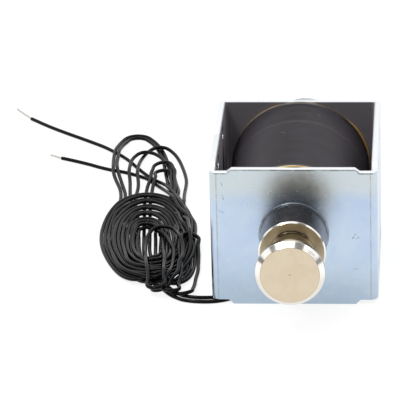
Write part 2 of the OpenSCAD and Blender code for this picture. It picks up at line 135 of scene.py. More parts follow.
ROUTE_B = [
    (-12.9, -21, 8), (-13.6, -21.6, 5.9), (-15.6, -22.6, 3.6), (-18.2, -24.6, 1.5),
    (-21, -27.2, 0.7), (-24, -28.8, 0.7), (-27.6, -29.2, 0.7), (-31.2, -29.3, 0.7),
    (-34.8, -28.6, 0.7), (-38.4, -26.6, 0.7), (-41.2, -23.2, 0.8), (-43.4, -18.6, 1),
    # turns of the hank
    (-48.5, -17, 0.7), (-53.5, -12, 0.7), (-56, -5.5, 0.7), (-58.5, 1, 0.7), (-59.5, 8, 0.7),
    (-61, 15, 0.7), (-61.5, 22, 0.7), (-62, 29, 0.7), (-62.5, 36, 0.7), (-63, 43, 0.7),
    (-62.5, 50.5, 0.7), (-62.5, 57, 0.7), (-64, 63.5, 0.9), (-65.5, 70, 1.1), (-67, 76, 1.4),
    (-68, 82.5, 1.7), (-68, 89.5, 1.7), (-68, 97, 1.5), (-66.5, 104.5, 1.2), (-63, 111.5, 0.9),
    (-58, 107, 0.7), (-55, 101, 0.7), (-53, 94.5, 0.7), (-51.5, 87.5, 0.7), (-50.5, 80.5, 0.7),
    (-49.5, 73.5, 0.7), (-48.5, 66.5, 0.7), (-47, 59.5, 0.7), (-45, 53, 0.7), (-43, 46, 0.7),
    (-41.5, 39.5, 0.7), (-40, 32, 0.7), (-38.5, 25.5, 0.7), (-37.5, 19, 0.7), (-37, 13.5, 0.7),
    (-37, 7, 0.7), (-36, -0, 0.7), (-36.5, -7, 0.7), (-37.5, -14.5, 0.9), (-41.5, -20.5, 1.2),
    (-45.5, -18, 1.4), (-49.5, -12, 1.4), (-51.5, -4.5, 1.1), (-53, 3, 0.9), (-54.5, 11, 0.7),
    (-55, 18, 0.7), (-56, 25.5, 0.7), (-56.5, 32.5, 0.7), (-57, 40, 0.7), (-58.5, 47, 0.7),
    (-59, 56, 0.8), (-58.5, 62.5, 1), (-59, 68, 1.3), (-60, 74.5, 1.6), (-60, 81.5, 1.6),
    (-59.5, 89, 1.5), (-58, 95.5, 1.4), (-53, 99, 1.3), (-48.5, 94.5, 1.2), (-46, 88.5, 1),
    (-44.5, 82.5, 0.8), (-43, 75.5, 0.7), (-42, 69, 0.7), (-42, 61.5, 0.9), (-42, 54, 1.1),
    (-41.5, 46.5, 1.4), (-40.5, 39, 1.7), (-40, 31.5, 2), (-39, 24.5, 2), (-38, 18, 1.7),
    (-37.5, 13, 1.2), (-37.5, 6.5, 0.8), (-37.5, -0, 0.7), (-37.5, -7.5, 1),
    (-38.5, -15.5, 1.5), (-42.5, -22, 2.2), (-45.5, -16.5, 2.6), (-47.5, -9.5, 2.4),
    (-49, -1, 1.7), (-50.5, 7.5, 1.1), (-51, 15, 0.8), (-51.5, 22.5, 0.7), (-52, 29.5, 0.7),
    (-52.5, 36.5, 0.7), (-53, 43.5, 0.7), (-53.5, 50.5, 0.7), (-53.5, 57, 0.9),
    (-53.5, 63.5, 1.2), (-53, 69.5, 1.6), (-52, 76, 1.8), (-49, 77, 2), (-47.5, 70, 2),
    (-46.5, 63, 1.9), (-46.5, 57, 1.6), (-46.5, 50.5, 1.3), (-48, 44, 0.9), (-49, 37.5, 0.7),
    (-49.5, 30.5, 0.7), (-49.5, 23.5, 0.7), (-49, 16.5, 0.7), (-48.5, 9, 0.8), (-48, 1.5, 1),
    (-46.5, -5.5, 1.2), (-45.5, -13, 1.5), (-51, -17.5, 1.6), (-56.5, -13, 1.4), (-60, -5.5, 1),
    (-62.5, 1.5, 0.8), (-64.5, 8.5, 0.7), (-65.5, 15.5, 0.7), (-66.5, 22.5, 0.7),
    (-66.5, 29.5, 0.8), (-66, 36, 1), (-64.5, 42, 1.4), (-62, 48, 1.7), (-58, 53, 1.9),
    (-50.5, 52.5, 2.1), (-45.5, 47, 2.3), (-42.5, 39.5, 2.8), (-40, 31.5, 3.3),
    (-38.5, 23.5, 3.8), (-37.5, 16.5, 4.1), (-36.5, 10, 3.9), (-36.5, 3.5, 3.4),
    (-37.5, -2, 2.7), (-39, -7.5, 2.3), (-41.5, -14.5, 2.6), (-46.5, -21, 3.1),
    (-50.5, -17, 3.1), (-56, -10.5, 2.4), (-59.5, -2.5, 1.5), (-61.5, 6, 1), (-63.5, 13, 0.8),
    (-64, 19.5, 0.9), (-64, 27, 1.1), (-63.5, 33, 1.5), (-62, 39, 1.8), (-59.5, 45, 1.9),
    (-54, 49, 2), (-48, 45, 2), (-44.5, 39, 1.9), (-42, 32.5, 1.9), (-40.5, 25.5, 2),
    (-39.5, 18, 2.2), (-39, 11.5, 2.1), (-39.5, 5, 1.9), (-40.5, -2, 1.9), (-42.5, -10, 2.4),
    (-47, -17, 3), (-51, -13, 3.1), (-55.5, -7, 2.6), (-58.5, 0.5, 2.1), (-60.5, 7.5, 1.9),
    (-61.5, 15, 1.9), (-61.5, 22.5, 1.9), (-61.5, 29.5, 1.9), (-60, 36, 2), (-56.5, 42.5, 2),
    (-50.5, 42, 2), (-46.5, 36.5, 1.9), (-44, 30.5, 1.6), (-42.5, 24, 1.5), (-41.5, 17, 1.5),
    (-41.5, 9.5, 1.7), (-42, 2, 2), (-44, -5, 2), (-48, -10.5, 1.9), (-56, -1, 1.5),
    (-58, 6.5, 1.1), (-59.5, 14, 0.8), (-60, 22, 0.8), (-59.5, 28.5, 1), (-58, 34.5, 1.4),
    (-53.5, 38.5, 1.7), (-48.5, 33.5, 1.8), (-46, 27, 1.6), (-45, 21, 1.3), (-44, 14.5, 1.1),
    (-44.5, 6.5, 1.4), (-45, -1.5, 1.9), (-49, -8, 2), (-55, 2, 1.7), (-57, 10, 1.3),
    (-57.5, 17.5, 1.2), (-57.5, 24, 1.5), (-56, 30.5, 1.8), (-50.5, 30.5, 1.9),
    (-48, 23.5, 1.7), (-46.5, 17, 1.6), (-46, 9, 1.8), (-46.5, 1.5, 2.1), (-49.5, -5.5, 2.2),
    (-54, 4.5, 2.1), (-55, 12.5, 2), (-55, 20.5, 2), (-52.5, 27, 2.1), (-50, 22, 2.4),
    (-46.5, 18, 2.7), (-44.5, 13, 3), (-43.5, 8, 3.3), (-42, 2.5, 3.5), (-41.5, -2.5, 3.7),
    (-41.5, -8.5, 3.9), (-41.5, -15, 3.8), (-42.5, -24, 3.5), (-41, -31, 3), (-39, -22, 2.7),
    (-38.5, -13, 2.7), (-39, -7, 2.9), (-39.5, -1.5, 3.1), (-40, 3.5, 3.3), (-40, 8.5, 3.5),
    (-39.5, 14, 3.5), (-37, 17.5, 3), (-35, 14, 2.3), (-34.5, 10, 1.6), (-34, 5, 1.1),
    (-34, -0.5, 0.9), (-33, -7.5, 0.8), (-33.5, -14.5, 1), (-33.5, -22.5, 1.2),
    (-35.5, -29.5, 1.3), (-40, -27.5, 1.4), (-42.5, -23.5, 1.4), (-43.5, -19, 1.3),
    (-44.5, -14, 1.2), (-44.5, -9, 1.1), (-44, -4, 1.1), (-43.5, 0.5, 1.2), (-43, 5.5, 1),
    (-42, 10.5, 0.9), (-41, 15.5, 1), (-39.5, 20, 1.5), (-39, 26, 2.1), (-40.5, 33, 2.7),
    (-42.5, 40, 3), (-45, 47.5, 2.8), (-47.5, 55.5, 2.2), (-50.5, 62, 1.5), (-53, 67, 1),
    (-57, 72, 0.8),
    # free end
    (-64.4, 77.2, 0.8), (-69, 79.4, 0.7), (-73.6, 82, 0.7), (-78, 85, 0.7), (-83.4, 88.2, 0.7),
    (-88.4, 90.9, 0.7),
]


def through(points, n=12):
    """A smooth line through the points, spaced by the root of their distances."""
    p = np.asarray(points, float)
    q = np.vstack([2 * p[0] - p[1], p, 2 * p[-1] - p[-2]])
    out = []
    for i in range(1, len(q) - 2):
        a, b, c, d = q[i - 1:i + 3]
        t0, t1, t2 = (max(np.linalg.norm(v), 1e-6) ** 0.5 for v in (b - a, c - b, d - c))
        m1 = c - b + t1 * ((b - a) / t0 - (c - a) / (t0 + t1))
        m2 = c - b + t1 * ((d - c) / t2 - (d - b) / (t1 + t2))
        e, f = 2 * (b - c) + m1 + m2, -3 * (b - c) - 2 * m1 - m2
        for k in range(n):
            t = k / n
            out.append(e * t ** 3 + f * t * t + m1 * t + b)
    out.append(p[-1])
    return np.array(out)


def even(p, step):
    s = np.r_[0, np.cumsum(np.linalg.norm(np.diff(p, axis=0), axis=1))]
    t = np.linspace(0, s[-1], int(round(s[-1] / step)) + 1)
    return np.stack([np.interp(t, s, p[:, i]) for i in range(3)], 1)


def apart(x, i, j, mov):
    """Push crossing or touching stretches one diameter apart, mostly upwards where they cross."""
    p1, d1, p2, d2 = x[i], x[i + 1] - x[i], x[j], x[j + 1] - x[j]
    r = p1 - p2
    a, e, b = (d1 * d1).sum(1), (d2 * d2).sum(1), (d1 * d2).sum(1)
    c, f = (d1 * r).sum(1), (d2 * r).sum(1)
    den = a * e - b * b
    s = np.clip(np.where(den > 1e-9, (b * f - c * e) / np.maximum(den, 1e-9), 0.5), 0, 1)
    t = np.clip((b * s + f) / np.maximum(e, 1e-9), 0, 1)
    s = np.clip((b * t - c) / np.maximum(a, 1e-9), 0, 1)
    q = (p1 + d1 * s[:, None]) - (p2 + d2 * t[:, None])
    dist = np.linalg.norm(q, axis=1)
    bad = dist < LEAD_D * 1.02
    if not bad.any():
        return
    i, j, s, t, q, dist, d1, d2 = (v[bad] for v in (i, j, s, t, q, dist, d1, d2))
    n = q / np.maximum(dist, 1e-6)[:, None]
    n[dist < 1e-4] = (0, 0, 1)
    u = d1 / np.linalg.norm(d1, axis=1)[:, None]
    v = d2 / np.linalg.norm(d2, axis=1)[:, None]
    w = np.clip((1 - np.abs((u * v).sum(1))) * 6, 0, 0.9)[:, None]
    up = np.zeros_like(n)
    up[:, 2] = np.where(q[:, 2] >= 0, 1.0, -1.0)
    n = n * (1 - w) + up * w
    n /= np.linalg.norm(n, axis=1)[:, None]
    push = n * ((LEAD_D * 1.02 - dist) * 0.5)[:, None]
    mi, mj = mov[i] + 1e-9, mov[j] + 1e-9
    wi, wj = (mi / (mi + mj))[:, None], (mj / (mi + mj))[:, None]
    s, t = s[:, None], t[:, None]
    dx = np.zeros_like(x)
    np.add.at(dx, i, push * (1 - s) * wi)
    np.add.at(dx, i + 1, push * s * wi)
    np.add.at(dx, j, -push * (1 - t) * wj)
    np.add.at(dx, j + 1, -push * t * wj)
    m = np.linalg.norm(dx, axis=1)
    x += dx * np.where(m > 0.25, 0.25 / np.maximum(m, 1e-9), 1)[:, None] * mov[:, None]


def settle(routes, heads, tails, rounds):
    parts = [even(through(r), STEP) for r in routes]
    sizes = [len(q) for q in parts]
    off = np.r_[0, np.cumsum(sizes)]
    x = np.vstack(parts)
    aim = x.copy()
    wire = np.repeat(np.arange(len(parts)), sizes)
    idx = np.concatenate([np.arange(n) for n in sizes])
    mov = np.ones(len(x))
    joined = np.zeros(len(x) - 1, bool)
    inner = np.zeros(len(x), bool)
    for k in range(len(parts)):
        a, b = off[k], off[k + 1]
        mov[a:a + heads[k]] = 0
        mov[b - tails[k]:b] = 0
        joined[a:b - 1] = True
        inner[a + 1:b - 1] = True
    seg = np.nonzero(joined)[0]
    rest = np.linalg.norm(x[seg + 1] - x[seg], axis=1)
    mid = np.nonzero(inner & (mov > 0))[0]
    last = np.zeros(len(x), bool)
    last[off[1:] - 1] = True
    chords = []
    for gap in (2, 4):
        first = np.concatenate([np.arange(off[k], off[k + 1] - gap) for k in range(len(parts))])
        chords.append((gap, first, 2 * BEND * math.sin(min(gap * STEP / (2 * BEND), math.pi / 2))))
    for it in range(rounds):
        if it % 8 == 0:
            d2 = ((x[:, None, :2] - x[None, :, :2]) ** 2).sum(-1)
            i, j = np.nonzero(np.triu(d2 < (LEAD_D + STEP * 1.3) ** 2, 1))
            ok = (wire[i] != wire[j]) | (np.abs(idx[i] - idx[j]) > 3)
            ok &= (np.abs(x[i, 2] - x[j, 2]) < LEAD_D * 2.2) & ~(last[i] | last[j])
            i, j = i[ok], j[ok]
        if it < rounds * 0.85:
            x[:, 2] -= 0.03 * mov
        x[:, :2] += (aim[:, :2] - x[:, :2]) * 0.02 * mov[:, None]
        x[mid] += ((x[mid - 1] + x[mid + 1]) / 2 - x[mid]) * np.array([0.08, 0.08, 0.35])
        for _ in range(2):
            for gap, first, least in chords:
                d = x[first + gap] - x[first]
                size = np.linalg.norm(d, axis=1)
                tight = size < least
                c = d[tight] / np.maximum(size[tight], 1e-6)[:, None] \
                    * ((least - size[tight]) * 0.25)[:, None]
                dx = np.zeros_like(x)
                np.add.at(dx, first[tight], -c)
                np.add.at(dx, first[tight] + gap, c)
                x += dx * mov[:, None]
            d = x[seg + 1] - x[seg]
            size = np.linalg.norm(d, axis=1)
            c = d * ((size - rest) / np.maximum(size, 1e-9) * 0.5)[:, None]
            dx = np.zeros_like(x)
            np.add.at(dx, seg, c)
            np.add.at(dx, seg + 1, -c)
            x += dx * 0.5 * mov[:, None]
            apart(x, i, j, mov)
            x[:, 2] = np.where(mov > 0, np.maximum(x[:, 2], LEAD_R + 0.02), x[:, 2])
            beside = (mov > 0) & (x[:, 1] > -34) & (x[:, 1] < 30)
            x[:, 0] = np.where(beside, np.minimum(x[:, 0], -27 - LEAD_R - 0.3), x[:, 0])
    return [x[off[k]:off[k + 1]] for k in range(len(parts))]


def wire_mesh(name, pts, diameter, sides=16):
    """A round wire with domed ends along the points; its sections turn as little as they can."""
    t = np.gradient(pts, axis=0)
    t /= np.linalg.norm(t, axis=1)[:, None]
    u = np.cross(t[0], (0.0, 0.0, 1.0))
    u /= np.linalg.norm(u)
    ring = np.arange(sides) * TAU / sides
    bm = bmesh.new()
    rows = []

    def row(centre, a, b, r):
        rows.append([bm.verts.new(tuple((centre + (a * math.cos(g) + b * math.sin(g)) * r) * MM))
                     for g in ring])

    r = diameter / 2
    n = len(pts)
    for i in range(n):
        u = u - t[i] * u.dot(t[i])
        u /= np.linalg.norm(u)
        v = np.cross(t[i], u)
        if i == 0:
            row(pts[0] - t[0] * 0.01, u, v, r - 0.12)
            row(pts[0], u, v, r - 0.05)
            row(pts[0] + t[0] * 0.06, u, v, r)
        elif i == n - 1:
            row(pts[i] - t[i] * 0.06, u, v, r)
            row(pts[i], u, v, r - 0.05)
            row(pts[i] + t[i] * 0.01, u, v, r - 0.12)
        else:
            row(pts[i], u, v, r)
    for a, b in zip(rows, rows[1:]):
        for k in range(sides):
            bm.faces.new((a[k], a[(k + 1) % sides], b[(k + 1) % sides], b[k]))
    bm.faces.new(rows[0][::-1])
    bm.faces.new(rows[-1])
    bmesh.ops.recalc_face_normals(bm, faces=bm.faces)
    me = bpy.data.meshes.new(name)
    bm.to_mesh(me)
    bm.free()
    me.shade_smooth()
    me.set_sharp_from_angle(angle=math.radians(50))
    ob = bpy.data.objects.new(name, me)
    scene.collection.objects.link(ob)
    return ob


settled = settle([ROUTE_A, ROUTE_B], [16, 16], [30, 20], 400)
fine = [even(through(p, 4), 0.8) for p in settled]
lead_a = wire_mesh("lead_a_wire", fine[0], LEAD_D)
lead_b = wire_mesh("lead_b_wire", fine[1], LEAD_D)


# ---- mesh helpers -----------------------------------------------------------

def put(name, bm, body, slot, *nodes, sharp=40, flat=False):
    bmesh.ops.recalc_face_normals(bm, faces=bm.faces)
    me = bpy.data.meshes.new(name)
    bm.to_mesh(me)
    bm.free()
    if not flat:
        me.shade_smooth()
        me.set_sharp_from_angle(angle=math.radians(sharp))
    ob = bpy.data.objects.new(name, me)
    scene.collection.objects.link(ob)
    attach(ob, body)
    if nodes:
        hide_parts(*nodes)
    return ob


def rounded(points, closed=True, seg=4, guard=0.04):
    """Corners given as (r, y, fillet) turned into arcs, with guard points beside them so that
    the flats between them shade flat."""
    n = len(points)
    out = []
    for i, p in enumerate(points):
        f = p[2] if len(p) > 2 else 0.0
        here = Vector(p[:2])
        if not f or (not closed and i in (0, n - 1)):
            out.append(here)
            continue
        a = (Vector(points[i - 1][:2]) - here)
        b = (Vector(points[(i + 1) % n][:2]) - here)
        la, lb = a.length, b.length
        a.normalize()
        b.normalize()
        half = a.angle(b) / 2
        cut = min(f / math.tan(half), la * 0.45, lb * 0.45)
        f = cut * math.tan(half)
        centre = here + (a + b).normalized() * (f / math.sin(half))
        s, e = here + a * cut, here + b * cut
        g = min(guard, la * 0.04, lb * 0.04)
        out.append(s + a * g)
        u, v = s - centre, e - centre
        a0 = math.atan2(u.y, u.x)
        sweep = (math.atan2(v.y, v.x) - a0 + math.pi) % TAU - math.pi
        for k in range(seg + 1):
            w = a0 + sweep * k / seg
            out.append(centre + Vector((math.cos(w), math.sin(w))) * f)
        out.append(e + b * g)
    return out


def lathe(name, points, body, slot, *nodes, n=192, warp=None, sharp=40, seg=4, closed=True):
    """A solid turned about the plunger axis; points are (radius, y, fillet)."""
    prof = rounded(points, closed=closed, seg=seg)
    bm = bmesh.new()
    rings = []
    for p in prof:
        if p.x < 1e-6:
            rings.append([bm.verts.new((0, p.y * MM, AXIS_Z * MM))])
            continue
        ring = []
        for k in range(n):
            th = TAU * k / n
            r, y = p.x, p.y
            if warp:
                r, y = warp(th, r, y)
            ring.append(bm.verts.new((r * math.sin(th) * MM, y * MM,
                                      (AXIS_Z + r * math.cos(th)) * MM)))
        rings.append(ring)
    m = len(rings)
    for i in range(m if closed else m - 1):
        a, b = rings[i], rings[(i + 1) % m]
        if len(a) == 1 and len(b) == 1:
            continue
        for k in range(n):
            k2 = (k + 1) % n
            if len(a) == 1:
                bm.faces.new((a[0], b[k], b[k2]))
            elif len(b) == 1:
                bm.faces.new((a[k], b[0], a[k2]))
            else:
                bm.faces.new((a[k], b[k], b[k2], a[k2]))
    return put(name, bm, body, slot, *nodes, sharp=sharp)


# ---- frame: one strip, bent round and keyed on the left wall ------------------

R_MID, EDGE = 1.4, 0.2
ARC = math.pi / 2 * R_MID
HALF_W, Y_F, Y_R, Y_M = 24.6, -30.1, 26.1, -2.0    # ends of the straight parts
S1 = Y_M - Y_F
S2 = S1 + ARC
S3 = S2 + 2 * HALF_W
S4 = S3 + ARC
S5 = S4 + Y_R - Y_F
S6 = S5 + ARC
S7 = S6 + 2 * HALF_W
S8 = S7 + ARC
S_ALL = S8 + Y_R - Y_M
BENDS = [(S1, -24.6, Y_F, 180), (S3, 24.6, Y_F, 270), (S5, 24.6, Y_R, 0), (S7, -24.6, Y_R, 90)]
H, UP, DOWN = 47.3, 1.2, 1.5


def bent(s, z, t):
    """Where a point of the flat strip lies once it is bent; t is outwards from mid sheet."""
    if s <= S1:
        return (-26 - t, Y_M - s, z)
    if S2 <= s <= S3:
        return (-24.6 + s - S2, -31.5 - t, z)
    if S4 <= s <= S5:
        return (26 + t, Y_F + s - S4, z)
    if S6 <= s <= S7:
        return (24.6 - s + S6, 27.5 + t, z)
    if s >= S8:
        return (-26 - t, Y_R - s + S8, z)
    for start, cx, cy, deg in BENDS:
        if start <= s <= start + ARC:
            a = math.radians(deg) + (s - start) / R_MID
            return (cx + (R_MID + t) * math.cos(a), cy + (R_MID + t) * math.sin(a), z)


def strip_outline():
    g = 0.05                                       # half the gap at the keyed seam
    steps = [(Y_M + 26.2, Y_M + 27.6, S2 + 3.2, S2 + 4.8),
             (S3 - 4.8, S3 - 3.2, S4 + 2.5, S4 + 3.9)]
    low = []
    for a, b, c, d in steps:
        low += [(a, 0, .4), (b, DOWN, .5), (c, DOWN, .5), (d, 0, .4)]
    high = []
    for a, b, c, d in reversed(steps):
        high += [(d, H, .5), (c, H - UP, .6), (b, H - UP, .6), (a, H, .5)]
    start = [(g, H, .3), (g, 31, .3), (-5.5 + g, 34, .3), (-5.5 + g, 15, .3), (g, 18, .3), (g, 0, .3)]
    end = [(S_ALL - g, 0, .3), (S_ALL - g, 18, .3), (S_ALL - 5.5 - g, 15, .3),
           (S_ALL - 5.5 - g, 34, .3), (S_ALL - g, 31, .3), (S_ALL - g, H, .3)]
    pts = rounded(low + end + high + start, seg=3, guard=0.0)
    out = []
    for p in pts:
        if not out or (p - out[-1]).length > 1e-4:
            out.append(p)
    return out


def shrunk(poly, d):
    """The outline moved inwards by d, for a line that runs anticlockwise."""
    n = len(poly)
    out = []
    for i in range(n):
        a = (poly[i] - poly[i - 1]).normalized()
        b = (poly[(i + 1) % n] - poly[i]).normalized()
        na, nb = Vector((-a.y, a.x)), Vector((-b.y, b.x))
        out.append(poly[i] + (na + nb) * (d / max(1 + na.dot(nb), 0.3)))
    return out


def inside(p, poly):
    hit = False
    for i in range(len(poly)):
        a, b = poly[i - 1], poly[i]
        if (a.y > p.y) != (b.y > p.y) and p.x < (b.x - a.x) * (p.y - a.y) / (b.y - a.y) + a.x:
            hit = not hit
    return hit


def make_frame():
    bm = bmesh.new()
    outline = strip_outline()
    fillet = [(EDGE * (1 - math.sin(math.radians(a))), 1 - EDGE * (1 - math.cos(math.radians(a))))
              for a in (0, 30, 60, 90)]            # (inset, height) from the flat to the side
    rows = [(EDGE + 0.06, 1.0)] + fillet
    rows = rows + [(o, -t) for o, t in reversed(rows)]

    def ring(points, t):
        return [bm.verts.new((p.x, p.y, t)) for p in points]

    def bridge(levels):
        n = len(levels[0])
        for a, b in zip(levels, levels[1:]):
            for k in range(n):
                bm.faces.new((a[k], a[(k + 1) % n], b[(k + 1) % n], b[k]))

    sides = [ring(shrunk(outline, o), t) for o, t in rows]
    bridge(sides)
    loops = [(sides[0], sides[-1])]

    def circle(s, z, r, n=96):
        return [Vector((s + r * math.cos(TAU * k / n), z + r * math.sin(TAU * k / n)))
                for k in range(n)]

    holes = [(S2 + HALF_W, AXIS_Z, 11.12), (S6 + HALF_W, AXIS_Z, 6.0)]
    for s, z, r in holes:
        lv = [ring(circle(s, z, r + o, 128), t) for o, t in rows]
        bridge(lv)
        loops.append((lv[0], lv[-1]))
    bores = [(s, z, r + EDGE) for s, z, r in holes]
    for s in (Y_M + 14.5, S4 + 15.6, S4 + 40.6, S8 + 15.6):
        for z in (6.5, 42.5):
            n = 48
            turns = []
            levels = [1.0] + [1.0 - 0.08 * k for k in range(1, 25)] + [-1.0]
            lv = [ring(circle(s, z, 2.56, n), 1.0)]
            for t in levels:
                pts = []
                for k in range(n):
                    a = TAU * k / n
                    phase = (t / 0.8 - k / n) % 1.0
                    thread = 2.1 + 0.36 * (1 - min(1.0, abs(2 * phase - 1) * 1.35))
                    r = max(thread, 2.5 - (1 - abs(t)) * 0.9)
                    pts.append(Vector((s + r * math.cos(a), z + r * math.sin(a))))
                lv.append(ring(pts, t))
            lv.append(ring(circle(s, z, 2.56, n), -1.0))
            bridge(lv)
            loops.append((lv[0], lv[-1]))
            bores.append((s, z, 2.5))
    border = shrunk(outline, EDGE + 0.05)
    for which in (0, 1):
        verts = [v for lp in loops for v in lp[which]]
        co = [Vector((v.co.x, v.co.y)) for v in verts]
        edges, k = [], 0
        for lp in loops:
            n = len(lp[which])
            edges += [(k + i, k + (i + 1) % n) for i in range(n)]
            k += n
        vo, _, fo, orig, _, _ = delaunay_2d_cdt(co, edges, [], 0, 1e-7)
        real = [verts[o[0]] if o else None for o in orig]
        for f in fo:
            c = (vo[f[0]] + vo[f[1]] + vo[f[2]]) / 3
            if any((c.x - s) ** 2 + (c.y - z) ** 2 < r * r for s, z, r in bores):
                continue
            if not inside(c, border):
                continue
            bm.faces.new([real[i] for i in f])
    cuts = []
    for start, *_ in BENDS:
        cuts += [start - 0.25] + [start + ARC * k / 10 for k in range(11)] + [start + ARC + 0.25]
    for s in cuts:
        bmesh.ops.bisect_plane(bm, geom=bm.verts[:] + bm.edges[:] + bm.faces[:], dist=1e-6,
                               plane_co=(s, 0, 0), plane_no=(1, 0, 0))
    for v in bm.verts:
        v.co = Vector(bent(v.co.x, v.co.y, v.co.z)) * MM
    return put("frame_strip", bm, "coil_frame", "zinc_steel", "frame", sharp=60)


frame_ob = make_frame()


# ---- coil -------------------------------------------------------------------

def washer(name, y0, y1, node, swell=0.0, lift=0.0):
    def warp(th, r, y):
        if r > 20:
            r = r + swell * (0.5 * math.sin(3 * th + 1) + 0.5 * math.sin(7 * th))
            if th < math.pi:
                r += lift * math.exp(-((th - 1.2) / 0.34) ** 4)
        return r, y
    return lathe(name, [(11.12, y0, .05), (23.06, y0, .15), (23.06, y1, .15), (11.12, y1, .05)],
                 "coil_frame", "insulating_paper", node, warp=warp, n=240)


front_washer = washer("washer_front", -30.5, -29.7, "front_washer", 0.03)
rear_washer = washer("washer_rear", 25.7, 26.5, "rear_washer", 0.03, 0.55)

spool = lathe("spool", [(11.12, -29.7), (23.05, -29.7, .1), (23.05, -28.5, .2), (12.12, -28.5, .3),
                        (12.12, 24.5, .3), (23.05, 24.5, .2), (23.05, 25.7, .1), (11.12, 25.7)],
              "coil_frame", "bobbin_nylon", "bobbin")


def bulge(th, y):
    """The tape lifts a little over the two splices."""
    h = 0.0
    for (x, z, ya, yb) in ((-11.1, 7.1, -26.4, -16.4), (-13.2, 8.9, -24.2, -14.2)):
        a = math.atan2(x, z - AXIS_Z)
        d = (th - a + math.pi) % TAU - math.pi
        e = max(ya - y, y - yb, 0.0)
        h = max(h, 0.5 * math.exp(-(d * 22 / 1.5) ** 2 - (e / 1.6) ** 2))
    return h


def tape(name, node, r_in, r_out, y0, y1, lay, rear=False):
    """Tape wound on the coil: each layer ends in a small step along the coil, and the top
    layer's edge rides a little higher than the coil below it."""
    n = 288
    rows = []
    span = y1 - y0
    ys = [y0, y0 + 0.03, y0 + 0.1, y0 + 0.25, y0 + 0.6]
    ys += [y0 + 0.6 + (span - 1.2) * k / 44 for k in range(1, 44)]
    ys += [y1 - 0.6, y1 - 0.25, y1 - 0.1, y1 - 0.03, y1]
    bm = bmesh.new()

    def radius(th, y):
        e = min(y - y0, y1 - y)
        lip = 0.1 * (1 - math.sqrt(max(0.0, 1 - (1 - min(e / 0.1, 1)) ** 2)))
        turn = (th / TAU + lay) % 1.0
        step = 0.09 * turn if turn < 0.985 else 0.09 * (1 - turn) / 0.015
        slack = 0.03 * math.sin(5 * th + y * 0.11) + 0.02 * math.sin(11 * th - y * 0.3)
        ridge = 0.0
        if rear:
            over = max(0.0, 1 - (y1 - y) / 2.2)
            gap = 0.5 - 0.5 * math.cos(min(1.0, max(0.0, (th - 0.62) / 0.12)) * math.pi)
            gap *= 0.5 + 0.5 * math.cos(min(1.0, max(0.0, (th - 1.75) / 0.2)) * math.pi)
            ridge = over * over * (0.42 - 0.42 * gap)
        return r_out - 0.12 + step + slack - lip + ridge + bulge(th, y)

    outer, inner = [], []
    for y in ys:
        outer.append([bm.verts.new((radius(TAU * k / n, y) * math.sin(TAU * k / n) * MM, y * MM,
                                    (AXIS_Z + radius(TAU * k / n, y) * math.cos(TAU * k / n)) * MM))
                      for k in range(n)])
    for y in (y0, y1):
        inner.append([bm.verts.new((r_in * math.sin(TAU * k / n) * MM, y * MM,
                                    (AXIS_Z + r_in * math.cos(TAU * k / n)) * MM)) for k in range(n)])
    levels = [inner[0]] + outer + [inner[1]]
    for a, b in zip(levels, levels[1:] + levels[:1]):
        for k in range(n):
            bm.faces.new((a[k], b[k], b[(k + 1) % n], a[(k + 1) % n]))
    return put(name, bm, "coil_frame", "coil_tape", node, sharp=50)


tape_front = tape("tape_wrap_front", "tape_front", 22.2, 22.9, -28.5, 10.0, 0.42)
tape_rear = tape("tape_wrap_rear", "tape_rear", 22.2, 22.72, 10.0, 24.5, 0.58, rear=True)

tube = lathe("tube", [(10.87, -32.7, .06), (11.1, -32.7, .12), (11.1, 26.5), (10.87, 26.5)],
             "coil_frame", "guide_brass", "guide_tube", n=256)


def staked(th, r, y):
    """Three punch marks press the end of the boss outwards."""
    if y > 28.6:
        k = max(0.0, math.cos(3 * (th - 0.3))) ** 24
        if r > 6.2:
            r += 0.12 * k
        elif r > 4.4 and y > 29.9:
            y -= 0.45 * k
    return r, y


pole = lathe("pole_core", [(4.06, 18.5, .3), (10.37, 18.5, .05), (10.87, 19.0, .05), (10.87, 26.5),
                           (6, 26.5), (6, 28.5), (6.78, 28.5, .1), (6.78, 29.4, .25), (6.3, 29.98, .12),
                           (5.5, 29.98), (5.2, 29.98), (4.8, 29.98), (4.06, 29.98, .25)],
             "coil_frame", "pole_steel", "pole_piece", warp=staked, n=240)


# ---- plunger, rod, nut and push head ------------------------------------------

plunger = lathe("plunger_turned", [
    (0, -64.3), (0.16, -64.36, .04), (0.3, -64.5, .03), (9.4, -64.5, .07), (11, -62.9, .1),
    (11, -61.45, .05), (10.75, -61.2, .08), (7.3, -61.2, .2), (7.3, -47.3, .08),
    (10.4, -47.3, .05), (10.8, -46.9, .09), (10.8, 7.3, .1), (10.2, 7.9, .08),
    (3.4, 7.9), (3, 7.5), (3, -4.1), (0, -4.1)],
    "armature", "nickel_steel", "plunger", n=320)

rod = lathe("rod_ground", [
    (0, -3.9), (2.98, -3.9), (2.98, 7.9), (4, 7.9, .1), (4, 49.7, .05), (3.6, 50.1, .05),
    (2.98, 50.1), (2.98, 62.7, .2), (0, 62.98)], "armature", "rod_steel", "push_rod", n=160)


